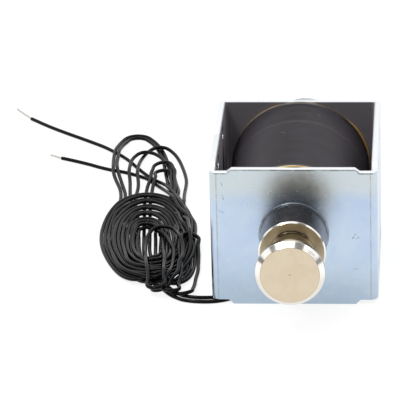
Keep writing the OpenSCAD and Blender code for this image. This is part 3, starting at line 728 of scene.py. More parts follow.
def make_nut():
    """Hexagon nut with both ends turned down at the corners, and a chamfered bore."""
    n, half = 180, 5.0
    bm = bmesh.new()
    y0, y1 = 50.1, 55.1
    ys = [y0, y0 + 0.02, y0 + 0.15, y0 + 0.3, y0 + 0.45, y0 + 0.7, (y0 + y1) / 2,
          y1 - 0.7, y1 - 0.45, y1 - 0.3, y1 - 0.15, y1 - 0.02, y1]
    levels = []
    for y in ys:
        ring = []
        for k in range(n):
            th = TAU * k / n
            flat = half / math.cos((th % (TAU / 6)) - TAU / 12)
            hexr = min(flat, 5.74)
            cone = 4.85 + min(y - y0, y1 - y) / math.tan(math.radians(30))
            r = min(hexr, cone)
            a = th + TAU / 12
            ring.append(bm.verts.new((r * math.sin(a) * MM, y * MM, (AXIS_Z + r * math.cos(a)) * MM)))
        levels.append(ring)
    for r, y in ((3.4, y1), (3.0, y1 - 0.4), (3.0, y0 + 0.4), (3.4, y0)):
        levels.append([bm.verts.new((r * math.sin(TAU * k / n + TAU / 12) * MM, y * MM,
                                     (AXIS_Z + r * math.cos(TAU * k / n + TAU / 12)) * MM))
                       for k in range(n)])
    for a, b in zip(levels, levels[1:] + levels[:1]):
        for k in range(n):
            bm.faces.new((a[k], b[k], b[(k + 1) % n], a[(k + 1) % n]))
    return put("nut_hex", bm, "armature", "nut_steel", "lock_nut", sharp=25)


nut = make_nut()

head = lathe("head_disc", [
    (3, 55.1, .3), (6.6, 55.1, .05), (7, 55.5, .05), (7, 62.2, .25), (10.5, 62.2, .05),
    (10.8, 62.5, .06), (10.8, 64.0, .06), (10.3, 64.5, .08), (1.0, 64.5, .05), (0, 64.05),
    (0, 63.0), (3, 63.0)], "armature", "nickel_steel", "push_head", n=256)


# ---- stripped ends ------------------------------------------------------------

def make_tips():
    """Seven tinned strands, lightly twisted, at each free end."""
    bm = bmesh.new()
    sides = 8
    for a, b, seed in (((-103.4, 129.2, 0.7), (-109.8, 139, 0.7), 0.0),
                       ((-88.4, 90.9, 0.7), (-92.7, 93.9, 0.7), 1.3)):
        a, b = Vector(a), Vector(b)
        d = (b - a).normalized()
        u = d.cross(Vector((0, 0, 1))).normalized()
        w = u.cross(d)
        size = (b - a).length
        for k in range(7):
            r, off = 0.13, (0.0 if k == 0 else 0.255)
            rows = []
            m = 28
            end = size - (0.0, 0.25, 0.1, 0.35, 0.05, 0.3, 0.15)[k]
            for i in range(m + 1):
                t = -0.6 + (end + 0.6) * i / m
                ph = seed + TAU * k / 6 + t * 0.55
                open_ = off * (1 + 0.25 * max(0.0, (t - size * 0.6) / size))
                c = a + d * t + (u * math.cos(ph) + w * math.sin(ph)) * open_
                rows.append([bm.verts.new((c + (u * math.cos(TAU * j / sides)
                                                + w * math.sin(TAU * j / sides)) * r) * MM)
                             for j in range(sides)])
            for p, q in zip(rows, rows[1:]):
                for j in range(sides):
                    bm.faces.new((p[j], q[j], q[(j + 1) % sides], p[(j + 1) % sides]))
            bm.faces.new(rows[0])
            bm.faces.new(rows[-1])
    return put("tips_stranded", bm, "coil_frame", "tinned_copper", "lead_tips", sharp=50)


tips = make_tips()

for ob, nodes, pts in ((lead_a, ("lead_a", "lead_a_end", "lead_hank"), fine[0]),
                       (lead_b, ("lead_b", "lead_b_end"), fine[1])):
    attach(ob, "coil_frame")
    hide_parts(*nodes)


# ---- materials ----------------------------------------------------------------

class Look:
    """A short way to write a node material."""

    def __init__(self, name):
        self.m = bpy.data.materials.new(name)
        self.m.use_nodes = True
        self.t = self.m.node_tree
        self.t.nodes.clear()
        out = self.t.nodes.new("ShaderNodeOutputMaterial")
        self.b = self.t.nodes.new("ShaderNodeBsdfPrincipled")
        self.t.links.new(self.b.outputs[0], out.inputs[0])
        co = self.t.nodes.new("ShaderNodeTexCoord")
        sc = self.t.nodes.new("ShaderNodeVectorMath")
        sc.operation = "SCALE"
        sc.inputs["Scale"].default_value = 1000.0
        self.t.links.new(co.outputs["Object"], sc.inputs[0])
        self.mm = sc.outputs[0]
        sep = self.t.nodes.new("ShaderNodeSeparateXYZ")
        self.t.links.new(self.mm, sep.inputs[0])
        self.x, self.y, self.z = sep.outputs
        way = self.t.nodes.new("ShaderNodeSeparateXYZ")
        self.t.links.new(co.outputs["Normal"], way.inputs[0])
        self.facing_up = way.outputs[2]

    def link(self, value, socket):
        if isinstance(value, bpy.types.NodeSocket):
            self.t.links.new(value, socket)
        else:
            socket.default_value = value

    def set(self, **kw):
        for k, v in kw.items():
            self.link(v, self.b.inputs[k.replace("_", " ")])

    def math(self, op, a, b=0.0, c=None, clamp=False):
        n = self.t.nodes.new("ShaderNodeMath")
        n.operation = op
        n.use_clamp = clamp
        self.link(a, n.inputs[0])
        self.link(b, n.inputs[1])
        if c is not None:
            self.link(c, n.inputs[2])
        return n.outputs[0]

    def vec(self, x=0.0, y=0.0, z=0.0):
        n = self.t.nodes.new("ShaderNodeCombineXYZ")
        for v, s in zip((x, y, z), n.inputs):
            self.link(v, s)
        return n.outputs[0]

    def stretch(self, v, scale, rot=(0, 0, 0)):
        n = self.t.nodes.new("ShaderNodeMapping")
        self.link(v, n.inputs["Vector"])
        n.inputs["Scale"].default_value = scale
        n.inputs["Rotation"].default_value = rot
        return n.outputs[0]

    def noise(self, v, scale, detail=3.0, rough=0.5, distort=0.0):
        n = self.t.nodes.new("ShaderNodeTexNoise")
        self.link(v, n.inputs["Vector"])
        n.inputs["Scale"].default_value = scale
        n.inputs["Detail"].default_value = detail
        n.inputs["Roughness"].default_value = rough
        n.inputs["Distortion"].default_value = distort
        return n.outputs[0]

    def cells(self, v, scale, feature="F1", out="Distance", random=1.0):
        n = self.t.nodes.new("ShaderNodeTexVoronoi")
        n.feature = feature
        self.link(v, n.inputs["Vector"])
        n.inputs["Scale"].default_value = scale
        n.inputs["Randomness"].default_value = random
        return n.outputs[out]

    def ramp(self, v, a, b, lo=0.0, hi=1.0, smooth=True):
        n = self.t.nodes.new("ShaderNodeMapRange")
        n.interpolation_type = "SMOOTHSTEP" if smooth else "LINEAR"
        n.clamp = True if not smooth else n.clamp
        self.link(v, n.inputs["Value"])
        n.inputs["From Min"].default_value = a
        n.inputs["From Max"].default_value = b
        n.inputs["To Min"].default_value = lo
        n.inputs["To Max"].default_value = hi
        return n.outputs["Result"]

    def mix(self, fac, a, b, mode="MIX"):
        n = self.t.nodes.new("ShaderNodeMix")
        n.data_type = "RGBA"
        n.blend_type = mode
        self.link(fac, n.inputs[0])
        self.link(a if isinstance(a, bpy.types.NodeSocket) else (*a, 1.0), n.inputs[6])
        self.link(b if isinstance(b, bpy.types.NodeSocket) else (*b, 1.0), n.inputs[7])
        return n.outputs[2]

    def bump(self, height, strength, distance=0.0001, under=None):
        n = self.t.nodes.new("ShaderNodeBump")
        n.inputs["Strength"].default_value = strength
        n.inputs["Distance"].default_value = distance
        self.link(height, n.inputs["Height"])
        if under is not None:
            self.link(under, n.inputs["Normal"])
        return n.outputs[0]

    def radius(self):
        dz = self.math("SUBTRACT", self.z, AXIS_Z)
        return self.math("SQRT", self.math("ADD", self.math("MULTIPLY", self.x, self.x),
                                           self.math("MULTIPLY", dz, dz)))

    def angle(self):
        return self.math("ARCTAN2", self.x, self.math("SUBTRACT", self.z, AXIS_Z))

    def graze(self, at_x, at_z, turn, half, wide):
        """One short mark on a face that looks along y."""
        c, s = math.cos(turn), math.sin(turn)
        dx, dz = self.math("SUBTRACT", self.x, at_x), self.math("SUBTRACT", self.z, at_z)
        u = self.math("ADD", self.math("MULTIPLY", dx, c), self.math("MULTIPLY", dz, s))
        v = self.math("SUBTRACT", self.math("MULTIPLY", dz, c), self.math("MULTIPLY", dx, s))
        return self.math("MULTIPLY", self.ramp(self.math("ABSOLUTE", u), half, half * 0.5),
                         self.ramp(self.math("ABSOLUTE", v), wide, wide * 0.3))

    def scratches(self, turns, length=0.16, width=3.2, level=0.77, mask_scale=0.09):
        """Sparse hairline marks in several directions."""
        total = None
        for k, turn in enumerate(turns):
            v = self.stretch(self.mm, (length, length, width), turn)
            n = self.noise(v, 1.0 + 0.13 * k, 1.0, 0.4)
            line = self.ramp(n, level, level + 0.03)
            where = self.ramp(self.noise(self.stretch(self.mm, (1, 1, 1), (k + 1.0, 2.0 * k, 0.5)),
                                         mask_scale, 1.0), 0.52, 0.6)
            line = self.math("MULTIPLY", line, where)
            total = line if total is None else self.math("MAXIMUM", total, line)
        return total


def dress(ob, look):
    slots = ob.data.materials
    if len(slots):
        for i in range(len(slots)):
            slots[i] = look.m
    else:
        slots.append(look.m)


def zinc():
    k = Look("zinc_plate")
    big = k.noise(k.mm, 0.045, 3.0, 0.55, 0.6)
    mid = k.noise(k.mm, 0.3, 4.0, 0.6)
    grain = k.noise(k.stretch(k.mm, (1.4, 1.4, 9.0)), 1.0, 3.0, 0.6)
    cool = k.mix(k.ramp(big, 0.38, 0.62), (0.47, 0.585, 0.76), (0.53, 0.64, 0.775))
    # painted light and shade: the plate is lighter towards the top edge and darker towards the foot
    painted_light_top = k.ramp(k.math("ADD", k.z, k.math("MULTIPLY", big, 8.0)), 38.0, 45.0)
    col = k.mix(painted_light_top, cool, (0.58, 0.65, 0.69))
    painted_shade_foot = k.ramp(k.math("ADD", k.z, k.math("MULTIPLY", big, 10.0)), 26.0, 2.0)
    col = k.mix(painted_shade_foot, col, (0.40, 0.50, 0.60))
    col = k.mix(k.ramp(mid, 0.45, 0.75, 0.0, 0.10), col, (0.82, 0.84, 0.84))
    ax = k.math("ABSOLUTE", k.x)
    line = k.math("SUBTRACT", 1.0, k.ramp(k.math("ABSOLUTE", k.math("SUBTRACT", ax, 24.75)), 0.0, 0.35))
    line = k.math("MULTIPLY", line, k.ramp(k.noise(k.mm, 0.5, 3.0), 0.3, 0.6, 0.25, 0.6))
    col = k.mix(line, col, (0.30, 0.28, 0.22))
    # painted dark reflection on the left bend
    painted_dark_reflection_bend = k.math("MULTIPLY", k.math("MULTIPLY", k.ramp(k.x, -25.9, -26.6), k.ramp(k.y, -29.0, -31.0)),
                    k.math("MULTIPLY", k.ramp(k.z, 31.0, 25.0), k.ramp(k.z, 1.0, 4.0)))
    col = k.mix(k.math("MULTIPLY", painted_dark_reflection_bend, 0.75), col, (0.10, 0.11, 0.13))
    mark = k.scratches([(0, 0.9, 0.3), (0, -0.5, 1.0), (0, 2.0, 2.0)])
    speck = k.math("MULTIPLY", k.ramp(k.cells(k.mm, 0.55), 0.16, 0.06),
                   k.ramp(k.noise(k.mm, 0.4, 2.0), 0.6, 0.66))
    dirt = k.math("MAXIMUM", k.math("MULTIPLY", mark, 0.22), k.math("MULTIPLY", speck, 0.12))
    col = k.mix(dirt, col, (0.10, 0.11, 0.12))
    rough = k.math("ADD", k.ramp(mid, 0.3, 0.7, 0.235, 0.275), k.math("MULTIPLY", dirt, 0.25))
    # a few grazes on the front wall
    hurt = None
    for at in ((19.4, 24.0, 1.0, 1.3, 0.24), (20.5, 23.4, 0.4, 0.8, 0.22), (-22.9, 42.0, -1.2, 0.8, 0.16),
               (-22.6, 37.5, -1.3, 1.1, 0.17), (-23.3, 32.6, -0.5, 1.2, 0.17), (8.5, 16.0, 0.05, 1.6, 0.11),
               (20.0, 12.5, 0.1, 1.2, 0.10)):
        one = k.graze(*at)
        hurt = one if hurt is None else k.math("MAXIMUM", hurt, one)
    hurt = k.math("MULTIPLY", k.math("MULTIPLY", hurt, k.ramp(k.y, -32.2, -32.4)),
                  k.ramp(k.noise(k.mm, 1.6, 3.0), 0.38, 0.55, 0.15, 0.8))
    col = k.mix(hurt, col, (0.07, 0.08, 0.09))
    # painted shade: the inside of the box is dull and painted dark
    dull_and_shaded_inside = k.math("MULTIPLY", k.ramp(ax, 25.6, 25.1),
                    k.math("MULTIPLY", k.ramp(k.y, -30.9, -30.6), k.ramp(k.y, 26.9, 26.6)))
    # painted highlight on the upward-facing top edge, with a painted shadow line under it on the front
    top = k.math("SUBTRACT", 47.3, k.math("MULTIPLY", k.ramp(ax, 19.8, 21.4), k.math("MULTIPLY", k.ramp(k.y, -26.2, -27.6), 1.2)))
    under = k.math("SUBTRACT", top, k.z)
    painted_highlight_top_edge = k.math("MULTIPLY", k.ramp(k.facing_up, 0.55, 0.85), k.ramp(k.z, 44.0, 45.0))
    col = k.mix(k.math("MULTIPLY", painted_highlight_top_edge, 0.9), col, (0.90, 0.93, 0.95))
    # painted shadow line under the top edge of the front wall
    painted_shadow_line = k.math("MULTIPLY", k.math("MULTIPLY", k.ramp(under, 0.18, 0.30), k.ramp(under, 0.75, 0.5)),
                  k.math("MULTIPLY", k.ramp(k.y, -32.2, -32.4), k.ramp(k.facing_up, 0.4, 0.2)))
    painted_shadow_line = k.math("MULTIPLY", painted_shadow_line, k.ramp(k.noise(k.mm, 0.35, 3.0), 0.3, 0.6, 0.2, 0.75))
    col = k.mix(painted_shadow_line, col, (0.10, 0.10, 0.10))
    # bare metal round the tapped holes
    hy = k.math("SUBTRACT", k.math("ABSOLUTE", k.math("ADD", k.y, 2.0)), 12.5)
    hz = k.math("SUBTRACT", k.math("ABSOLUTE", k.math("SUBTRACT", k.z, AXIS_Z)), 18.0)
    away = k.math("SQRT", k.math("ADD", k.math("MULTIPLY", hy, hy), k.math("MULTIPLY", hz, hz)))
    dull_and_shaded_inside = k.math("MULTIPLY", dull_and_shaded_inside, k.ramp(away, 2.7, 2.85))
    # painted shade on the inner walls: the front and rear darkest, the left lighter, the right lightest
    inner = k.mix(k.ramp(k.x, 24.0, 24.8), (0.165, 0.148, 0.165), (0.42, 0.38, 0.40))
    inner = k.mix(k.ramp(k.x, -24.0, -24.8), inner, (0.27, 0.245, 0.27))
    col = k.mix(k.math("MULTIPLY", dull_and_shaded_inside, 0.95), col, inner)
    rough = k.math("ADD", rough, k.math("MULTIPLY", dull_and_shaded_inside, 0.25))
    h = k.math("ADD", k.math("MULTIPLY", grain, 0.4), k.math("MULTIPLY", mid, 0.6))
    h = k.math("SUBTRACT", h, k.math("MULTIPLY", mark, 0.15))
    k.set(Base_Color=col, Metallic=k.math("SUBTRACT", 1.0, k.math("MULTIPLY", dull_and_shaded_inside, 0.85)), Roughness=rough,
          Normal=k.bump(h, 0.05, 0.0002))
    return k


def nickel(name, light, dark, lo=0.12, hi=0.18):
    k = Look(name)
    r, big = k.radius(), k.noise(k.mm, 0.22, 3.0)
    ring = k.noise(k.vec(k.math("MULTIPLY", r, 7.0), k.math("MULTIPLY", k.y, 5.0), 0.0), 1.0, 2.0, 0.7)
    col = k.mix(k.ramp(big, 0.4, 0.65), dark, light)
    # painted highlight on the chamfer and on the shoulder's rim, lighter towards the top; the sliding body is
    # rougher and painted with a dark reflection
    chamfer_highlight = k.math("MULTIPLY", k.ramp(r, 9.38, 9.46), k.ramp(k.y, -62.7, -62.85))
    rim_highlight = k.math("MULTIPLY", k.ramp(r, 10.3, 10.38), k.math("MULTIPLY", k.ramp(k.y, -47.6, -47.4),
                                                            k.ramp(k.y, -46.7, -46.85)))
    col = k.mix(k.math("MAXIMUM", chamfer_highlight, rim_highlight), col,
                k.mix(k.ramp(k.z, 27.0, 21.0), (0.99, 0.955, 0.90), (0.78, 0.735, 0.665)))
    line = k.math("MULTIPLY", k.math("MULTIPLY", k.ramp(r, 9.28, 9.34), k.ramp(r, 9.5, 9.44)),
                  k.ramp(k.y, -64.0, -64.3))
    # painted shadow at the root of the neck, against the shoulder
    neck_root_shadow = k.math("MULTIPLY", k.ramp(r, 7.9, 7.45), k.math("MULTIPLY", k.ramp(k.y, -49.2, -47.8),
                                                          k.ramp(k.y, -40.0, -41.0)))
    # painted dark reflection on the sliding body, which is also rougher
    body = k.math("MULTIPLY", k.ramp(k.y, -46.9, -46.6), k.ramp(k.y, 10.0, 9.0))
    col = k.mix(k.math("MULTIPLY", line, 0.45), col, (0.25, 0.22, 0.18))
    col = k.mix(k.math("MULTIPLY", neck_root_shadow, 0.5), col, (0.16, 0.14, 0.12))
    col = k.mix(k.math("MULTIPLY", body, 0.95), col, (0.215, 0.20, 0.215))
    # turned face of the shoulder, painted lighter near the middle and darker at the sides, and two broken dark rings
    # on the upper right of the chamfer
    face = k.math("MULTIPLY", k.math("MULTIPLY", k.ramp(k.y, -47.95, -47.65), k.ramp(k.y, -46.9, -47.1)),
                  k.math("MULTIPLY", k.ramp(r, 7.6, 7.9), k.ramp(r, 10.35, 10.25)))
    painted_sheen_off_centre = k.math("ABSOLUTE", k.x)
    col = k.mix(k.math("MULTIPLY", face, 0.8), col, k.mix(k.ramp(painted_sheen_off_centre, 2.5, 8.5), (0.84, 0.72, 0.50), (0.46, 0.38, 0.27)))
    th = k.angle()
    ring_a = k.ramp(k.math("ABSOLUTE", k.math("SUBTRACT", r, 9.72)), 0.10, 0.04)
    ring_b = k.ramp(k.math("ABSOLUTE", k.math("SUBTRACT", r, 10.12)), 0.09, 0.04)
    dark_rings_upper_right = k.math("MULTIPLY", k.math("MAXIMUM", ring_a, ring_b), k.math("MULTIPLY", k.ramp(th, 0.30, 0.38), k.ramp(th, 1.05, 0.95)))
    dark_rings_upper_right = k.math("MULTIPLY", k.math("MULTIPLY", dark_rings_upper_right, chamfer_highlight),
                     k.ramp(k.noise(k.vec(k.math("MULTIPLY", th, 16.0), k.math("MULTIPLY", r, 4.0), 0.0), 1.0, 2.0), 0.42, 0.55))
    col = k.mix(k.math("MULTIPLY", dark_rings_upper_right, 0.8), col, (0.08, 0.07, 0.06))
    spot = k.math("MULTIPLY", k.ramp(k.cells(k.mm, 0.35), 0.10, 0.03),
                  k.ramp(k.noise(k.mm, 0.33, 2.0), 0.54, 0.6))
    mark = k.scratches([(0.4, 0.9, 0.3), (1.3, -0.5, 1.0)], 0.2, 3.0, 0.78, 0.12)
    dirt = k.math("MAXIMUM", k.math("MULTIPLY", spot, 0.3), k.math("MULTIPLY", mark, 0.12))
    col = k.mix(dirt, col, (0.30, 0.24, 0.18))
    rough = k.math("ADD", k.ramp(big, 0.35, 0.65, lo, hi), k.math("MULTIPLY", mark, 0.1))
    rough = k.math("ADD", rough, k.math("MULTIPLY", body, 0.13))
    rough = k.math("ADD", rough, k.math("MULTIPLY", face, 0.16))
    k.set(Base_Color=col, Metallic=1.0, Roughness=rough,
          Normal=k.bump(k.math("ADD", ring, k.math("MULTIPLY", mark, 0.3)), 0.04, 0.0001))
    return k


def steel(name, tint, lo, hi, across=True):
    k = Look(name)
    r = k.radius()
    v = k.vec(k.math("MULTIPLY", r, 6.0), k.math("MULTIPLY", k.y, 6.0 if across else 0.6),
              k.math("MULTIPLY", k.angle(), 0.5))
    ring = k.noise(v, 1.0, 3.0, 0.65)
    big = k.noise(k.mm, 0.25, 3.0)
    dark = tuple(c * 0.72 for c in tint)
    col = k.mix(k.ramp(big, 0.35, 0.7), tint, dark)
    stain = k.math("MULTIPLY", k.ramp(k.noise(k.mm, 0.9, 4.0, 0.65), 0.6, 0.75), 0.5)
    col = k.mix(stain, col, tuple(c * 0.5 for c in tint))
    rough = k.math("ADD", k.ramp(big, 0.3, 0.7, lo, hi), k.math("MULTIPLY", stain, 0.2))
    k.set(Base_Color=col, Metallic=1.0, Roughness=rough, Normal=k.bump(ring, 0.12, 0.0001))
    return k


def amber():
    """Golden varnished insulating board."""
    k = Look("varnished_board")
    fibre = k.noise(k.stretch(k.mm, (1.0, 0.2, 1.0)), 2.2, 5.0, 0.7, 1.5)
    big = k.noise(k.mm, 0.2, 3.0)
    col = k.mix(k.ramp(fibre, 0.3, 0.7), (0.62, 0.40, 0.10), (0.36, 0.20, 0.04))
    col = k.mix(k.ramp(big, 0.45, 0.7, 0.0, 0.5), col, (0.80, 0.62, 0.26))
    # darker along the rear rim, except in a window on each side
    th = k.angle()
    rim_windows = k.math("MULTIPLY", k.ramp(th, 0.66, 0.86), k.ramp(th, 1.7, 1.5))
    rim_windows = k.math("MAXIMUM", rim_windows, k.math("MULTIPLY", k.ramp(th, -0.22, -0.42, 0.0, 0.7), k.ramp(th, -1.2, -1.0)))
    dark_rear_rim = k.math("MULTIPLY", k.math("SUBTRACT", 1.0, rim_windows), k.ramp(k.y, 20.0, 21.0))
    col = k.mix(k.math("MULTIPLY", dark_rear_rim, 0.88), col, (0.075, 0.06, 0.045))
    pale = k.math("MULTIPLY", k.math("MULTIPLY", k.ramp(th, -0.25, -0.4), k.ramp(th, -1.0, -0.85)), k.ramp(k.y, 20.0, 21.0))
    col = k.mix(k.math("MULTIPLY", pale, k.ramp(fibre, 0.3, 0.7, 0.25, 0.6)), col, (0.62, 0.52, 0.34))
    k.set(Base_Color=col, Metallic=0.0, Roughness=k.ramp(fibre, 0.3, 0.8, 0.28, 0.45),
          Normal=k.bump(fibre, 0.25, 0.00015), Coat_Weight=0.4, Coat_Roughness=0.18)
    return k


def cloth_tape():
    """Black woven coil tape with a dull varnish."""
    k = Look("woven_tape")
    u = k.math("MULTIPLY", k.angle(), 22.8)
    per = TAU * 22.8 / 240
    wa = k.math("SINE", k.math("MULTIPLY", u, TAU / per))
    wb = k.math("SINE", k.math("MULTIPLY", k.y, TAU / 1.2))
    weave = k.math("MULTIPLY", wa, wb)
    uv = k.vec(k.math("MULTIPLY", u, 1.0), k.y, 0.0)
    big = k.noise(k.stretch(k.mm, (0.6, 1.6, 0.6)), 0.12, 3.0, 0.55)
    slub = k.noise(k.vec(k.math("MULTIPLY", u, 0.25), k.math("MULTIPLY", k.y, 2.2), 0.0), 1.0, 3.0, 0.6)
    col = k.mix(k.ramp(big, 0.35, 0.68), (0.0088, 0.0072, 0.0098), (0.0140, 0.0120, 0.0160))
    # woven pattern in lighter threads, partly painted light: it shows stronger towards the right side, where light
    # falls
    weave_sheen_side = k.ramp(k.math("ADD", k.angle(), k.math("MULTIPLY", big, 0.5)), 0.1, 0.45, 0.25, 1.0)
    col = k.mix(k.math("MULTIPLY", k.ramp(weave, -0.2, 1.0, 0.0, 0.9), weave_sheen_side), col, (0.070, 0.059, 0.074))
    scuff = k.noise(k.vec(k.math("MULTIPLY", u, 0.55), k.math("MULTIPLY", k.y, 0.22), 0.0), 1.0, 5.0, 0.7)
    scuff = k.ramp(scuff, 0.62, 0.8)
    near = k.math("SUBTRACT", 1.0, k.ramp(k.math("ABSOLUTE", k.math("SUBTRACT", k.y, 9.6)), 0.1, 2.0))
    lint = k.math("MULTIPLY", near, k.ramp(k.noise(k.mm, 1.3, 3.0), 0.35, 0.65, 0.25, 0.8))
    wear = k.math("MAXIMUM", k.math("MULTIPLY", scuff, 0.18), k.math("MULTIPLY", lint, 0.27))
    col = k.mix(wear, col, (0.16, 0.14, 0.15))
    fleck = k.math("MULTIPLY", k.ramp(k.cells(k.mm, 0.42), 0.10, 0.04),
                   k.ramp(k.noise(k.mm, 0.6, 2.0), 0.6, 0.66))
    col = k.mix(fleck, col, (0.35, 0.33, 0.30))
    th = k.angle()
    # painted light: both flanks of the tape are painted lighter, the left more than the right
    painted_light_flanks = k.math("ADD", k.math("MULTIPLY", k.ramp(th, -0.1, -0.7), 0.36), k.math("MULTIPLY", k.ramp(th, 0.15, 0.8), 0.24))
    col = k.mix(painted_light_flanks, col, (0.085, 0.074, 0.090))
    h = k.math("ADD", k.math("MULTIPLY", weave, 0.9), k.math("MULTIPLY", slub, 0.06))
    th = k.math("ADD", k.angle(), 0.2)
    nick = k.math("ABSOLUTE", k.math("ADD", k.math("SUBTRACT", k.y, 0.5), k.math("MULTIPLY", th, 24.0)))
    nick = k.math("MULTIPLY", k.ramp(nick, 0.3, 0.1), k.ramp(k.math("ABSOLUTE", th), 0.035, 0.02))
    col = k.mix(k.math("MULTIPLY", nick, 0.5), col, (0.22, 0.20, 0.17))
    k.set(Base_Color=col, Roughness=k.ramp(slub, 0.3, 0.7, 0.56, 0.59), Specular_IOR_Level=0.17,
          Normal=k.bump(h, 0.2, 0.0001))
    return k


def pvc():
    """Glossy black lead insulation with faint drag marks."""
    k = Look("pvc_black")
    fine_n = k.noise(k.mm, 2.4, 3.0, 0.6)
    big = k.noise(k.mm, 0.12, 2.0)
    dust = k.ramp(k.noise(k.mm, 0.8, 5.0, 0.7), 0.6, 0.8, 0.0, 0.35)
    col = k.mix(k.ramp(big, 0.35, 0.65), (0.0030, 0.0024, 0.0028), (0.0055, 0.0046, 0.0052))
    col = k.mix(dust, col, (0.016, 0.0145, 0.0155))
    k.set(Base_Color=col, Roughness=k.ramp(fine_n, 0.3, 0.7, 0.19, 0.26), Specular_IOR_Level=0.12,
          Normal=k.bump(fine_n, 0.10, 0.0001))
    return k


def nylon():
    k = Look("moulded_nylon")
    n = k.noise(k.mm, 1.6, 4.0, 0.6)
    col = k.mix(k.ramp(n, 0.35, 0.7), (0.022, 0.020, 0.020), (0.034, 0.031, 0.031))
    k.set(Base_Color=col, Roughness=k.ramp(n, 0.3, 0.7, 0.40, 0.52), Normal=k.bump(n, 0.15, 0.0001))
    return k


def brass():
    k = Look("drawn_tube")
    r = k.noise(k.vec(k.math("MULTIPLY", k.angle(), 9.0), k.math("MULTIPLY", k.y, 0.5), 0.0), 1.0, 3.0)
    col = k.mix(k.ramp(r, 0.35, 0.65), (0.62, 0.68, 0.72), (0.50, 0.56, 0.60))
    k.set(Base_Color=col, Metallic=1.0, Roughness=k.ramp(r, 0.3, 0.7, 0.22, 0.34),
          Normal=k.bump(r, 0.15, 0.0001))
    return k


def copper():
    k = Look("enamelled_wire")
    w = k.math("SINE", k.math("MULTIPLY", k.y, TAU / 0.42))
    n = k.noise(k.mm, 0.5, 3.0)
    col = k.mix(k.ramp(n, 0.35, 0.7), (0.55, 0.20, 0.08), (0.42, 0.14, 0.05))
    k.set(Base_Color=col, Metallic=0.85, Roughness=k.ramp(n, 0.3, 0.7, 0.25, 0.35),
          Normal=k.bump(w, 0.6, 0.0001))
    return k


def tinned():
    k = Look("tinned_strands")
    n = k.noise(k.mm, 1.2, 4.0, 0.6)
    col = k.mix(k.ramp(n, 0.35, 0.7), (0.80, 0.79, 0.76), (0.58, 0.55, 0.50))
    k.set(Base_Color=col, Metallic=1.0, Roughness=k.ramp(n, 0.3, 0.7, 0.25, 0.42),
          Normal=k.bump(n, 0.3, 0.0001))
    return k


def sleeving():
    k = Look("glass_sleeving")
    w = k.math("MULTIPLY", k.math("SINE", k.math("MULTIPLY", k.math("ADD", k.y, k.z), TAU / 0.35)),
               k.math("SINE", k.math("MULTIPLY", k.math("SUBTRACT", k.y, k.z), TAU / 0.35)))
    col = k.mix(k.ramp(w, -1.0, 1.0), (0.72, 0.68, 0.58), (0.86, 0.83, 0.75))
    n = k.noise(k.mm, 1.0, 2.0)
    k.set(Base_Color=col, Roughness=k.ramp(n, 0.3, 0.7, 0.5, 0.65), Normal=k.bump(w, 0.4, 0.0001))
    return k


def cream_nylon():
    k = Look("buffer_sheet")
    n = k.noise(k.mm, 0.9, 3.0)
    col = k.mix(k.ramp(n, 0.35, 0.7), (0.66, 0.52, 0.22), (0.56, 0.42, 0.16))
    k.set(Base_Color=col, Roughness=k.ramp(n, 0.3, 0.7, 0.35, 0.5), Normal=k.bump(n, 0.1, 0.0001))
    return k


zinc_look, tape_look, pvc_look = zinc(), cloth_tape(), pvc()
nickel_look = nickel("nickel_turned", (0.68, 0.585, 0.44), (0.65, 0.555, 0.41))
# painted light: the push head gets a near-white, rougher copy of the nickel
lit_nickel_look = nickel("nickel_painted_light", (0.97, 0.96, 0.94), (0.94, 0.93, 0.90), 0.42, 0.5)
board_look = amber()
dress(frame_ob, zinc_look)
dress(plunger, nickel_look)
dress(head, lit_nickel_look)
for ob in (front_washer, rear_washer):
    dress(ob, board_look)
for ob in (tape_front, tape_rear):
    dress(ob, tape_look)
for ob in (lead_a, lead_b):
    dress(ob, pvc_look)
dress(spool, nylon())
dress(tube, brass())
dress(pole, steel("pole_steel_turned", (0.56, 0.57, 0.58), 0.28, 0.42))
dress(rod, steel("rod_steel_ground", (0.66, 0.67, 0.68), 0.16, 0.26))
dress(nut, steel("nut_steel_plated", (0.60, 0.61, 0.60), 0.24, 0.36, across=False))
dress(tips, tinned())
nodes = frame["nodes"]
dress(nodes["winding"], copper())
dress(nodes["buffer_washer"], cream_nylon())
dress(nodes["splice_sleeves"], sleeving())
dress(nodes["solder_joints"], tinned())


# ---- floor and light ------------------------------------------------------------

floor_mesh = bpy.data.meshes.new("floor")
bm = bmesh.new()
bmesh.ops.create_circle(bm, cap_ends=True, radius=6.0, segments=96)
bm.to_mesh(floor_mesh)
bm.free()
floor = bpy.data.objects.new("floor", floor_mesh)
floor.location = (0, 0, 0)
scene.collection.objects.link(floor)
fl = Look("floor_white")
fl.set(Base_Color=fl.mix(fl.ramp(fl.noise(fl.mm, 0.01, 2.0), 0.3, 0.7), (0.17, 0.17, 0.17),
                         (0.19, 0.19, 0.19)), Roughness=0.9, Specular_IOR_Level=0.0,
       Emission_Color=(1.0, 1.0, 1.0, 1.0), Emission_Strength=0.86)
dress(floor, fl)


def area(name, at, aim, sx, sy, power, colour=(1, 1, 1)):
    li = bpy.data.lights.new(name, "AREA")
    li.shape = "RECTANGLE"
    li.size, li.size_y = sx, sy
    li.energy = power
    li.color = colour
    ob = bpy.data.objects.new(name, li)
    ob.location = at
    ob.rotation_euler = (Vector(aim) - Vector(at)).to_track_quat("-Z", "Y").to_euler()
    scene.collection.objects.link(ob)
    return ob


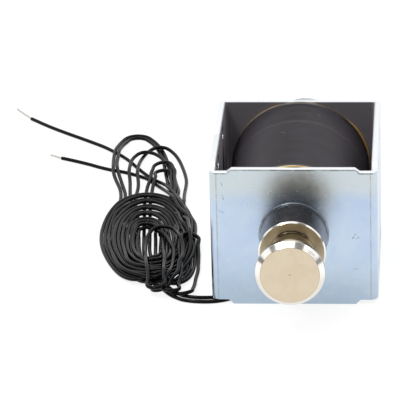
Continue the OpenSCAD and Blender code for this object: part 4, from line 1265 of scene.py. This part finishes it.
def make_world():
    w = bpy.data.worlds.new("studio")
    scene.world = w
    w.use_nodes = True
    t = w.node_tree
    t.nodes.clear()
    out = t.nodes.new("ShaderNodeOutputWorld")
    bg = t.nodes.new("ShaderNodeBackground")
    co = t.nodes.new("ShaderNodeTexCoord")
    sep = t.nodes.new("ShaderNodeSeparateXYZ")
    t.links.new(bg.outputs[0], out.inputs[0])
    t.links.new(co.outputs["Generated"], sep.inputs[0])
    X, Y, Z = sep.outputs

    def m(op, a, b=0.0):
        n = t.nodes.new("ShaderNodeMath")
        n.operation = op
        for v, s in ((a, n.inputs[0]), (b, n.inputs[1])):
            if isinstance(v, bpy.types.NodeSocket):
                t.links.new(v, s)
            else:
                s.default_value = v
        return n.outputs[0]

    def band(v, a, b):
        n = t.nodes.new("ShaderNodeMapRange")
        n.interpolation_type = "SMOOTHSTEP"
        t.links.new(v, n.inputs["Value"])
        n.inputs["From Min"].default_value = a
        n.inputs["From Max"].default_value = b
        return n.outputs["Result"]

    # a dim room on the side of the viewer, bright cloth above and all round
    front = m("MULTIPLY", band(Y, -0.25, -0.75), m("MULTIPLY", band(Z, -0.02, 0.06), band(Z, 0.80, 0.62)))
    level = m("SUBTRACT", 1.02, m("MULTIPLY", front, 0.98))
    level = m("ADD", level, m("MULTIPLY", band(Z, 0.55, 0.7), 0.55))
    # darker room at both sides, near the horizon
    side = m("MULTIPLY", band(m("ABSOLUTE", X), 0.84, 0.93), m("MULTIPLY", band(Z, -0.05, 0.0), band(Z, 0.24, 0.15)))
    level = m("SUBTRACT", level, m("MULTIPLY", side, 0.8))
    # two gaps between the cloths overhead
    for gx, gy, gz, wide in ((0.36, -0.38, 0.85, 0.24), (-0.67, -0.33, 0.66, 0.15)):
        n = math.sqrt(gx * gx + gy * gy + gz * gz)
        near = m("ADD", m("ADD", m("MULTIPLY", X, gx / n), m("MULTIPLY", Y, gy / n)), m("MULTIPLY", Z, gz / n))
        gap = band(near, math.cos(wide), math.cos(wide * 0.7))
        level = m("MULTIPLY", level, m("SUBTRACT", 1.0, m("MULTIPLY", gap, 0.85)))
    t.links.new(level, bg.inputs["Strength"])
    bg.inputs["Color"].default_value = (1.0, 1.0, 1.0, 1.0)
    return w


make_world()
area("overhead", (-0.55, -0.75, 1.25), (0, 0, 0), 0.28, 0.16, 5.0)

scene.view_settings.view_transform = "Standard"
scene.view_settings.look = "None"
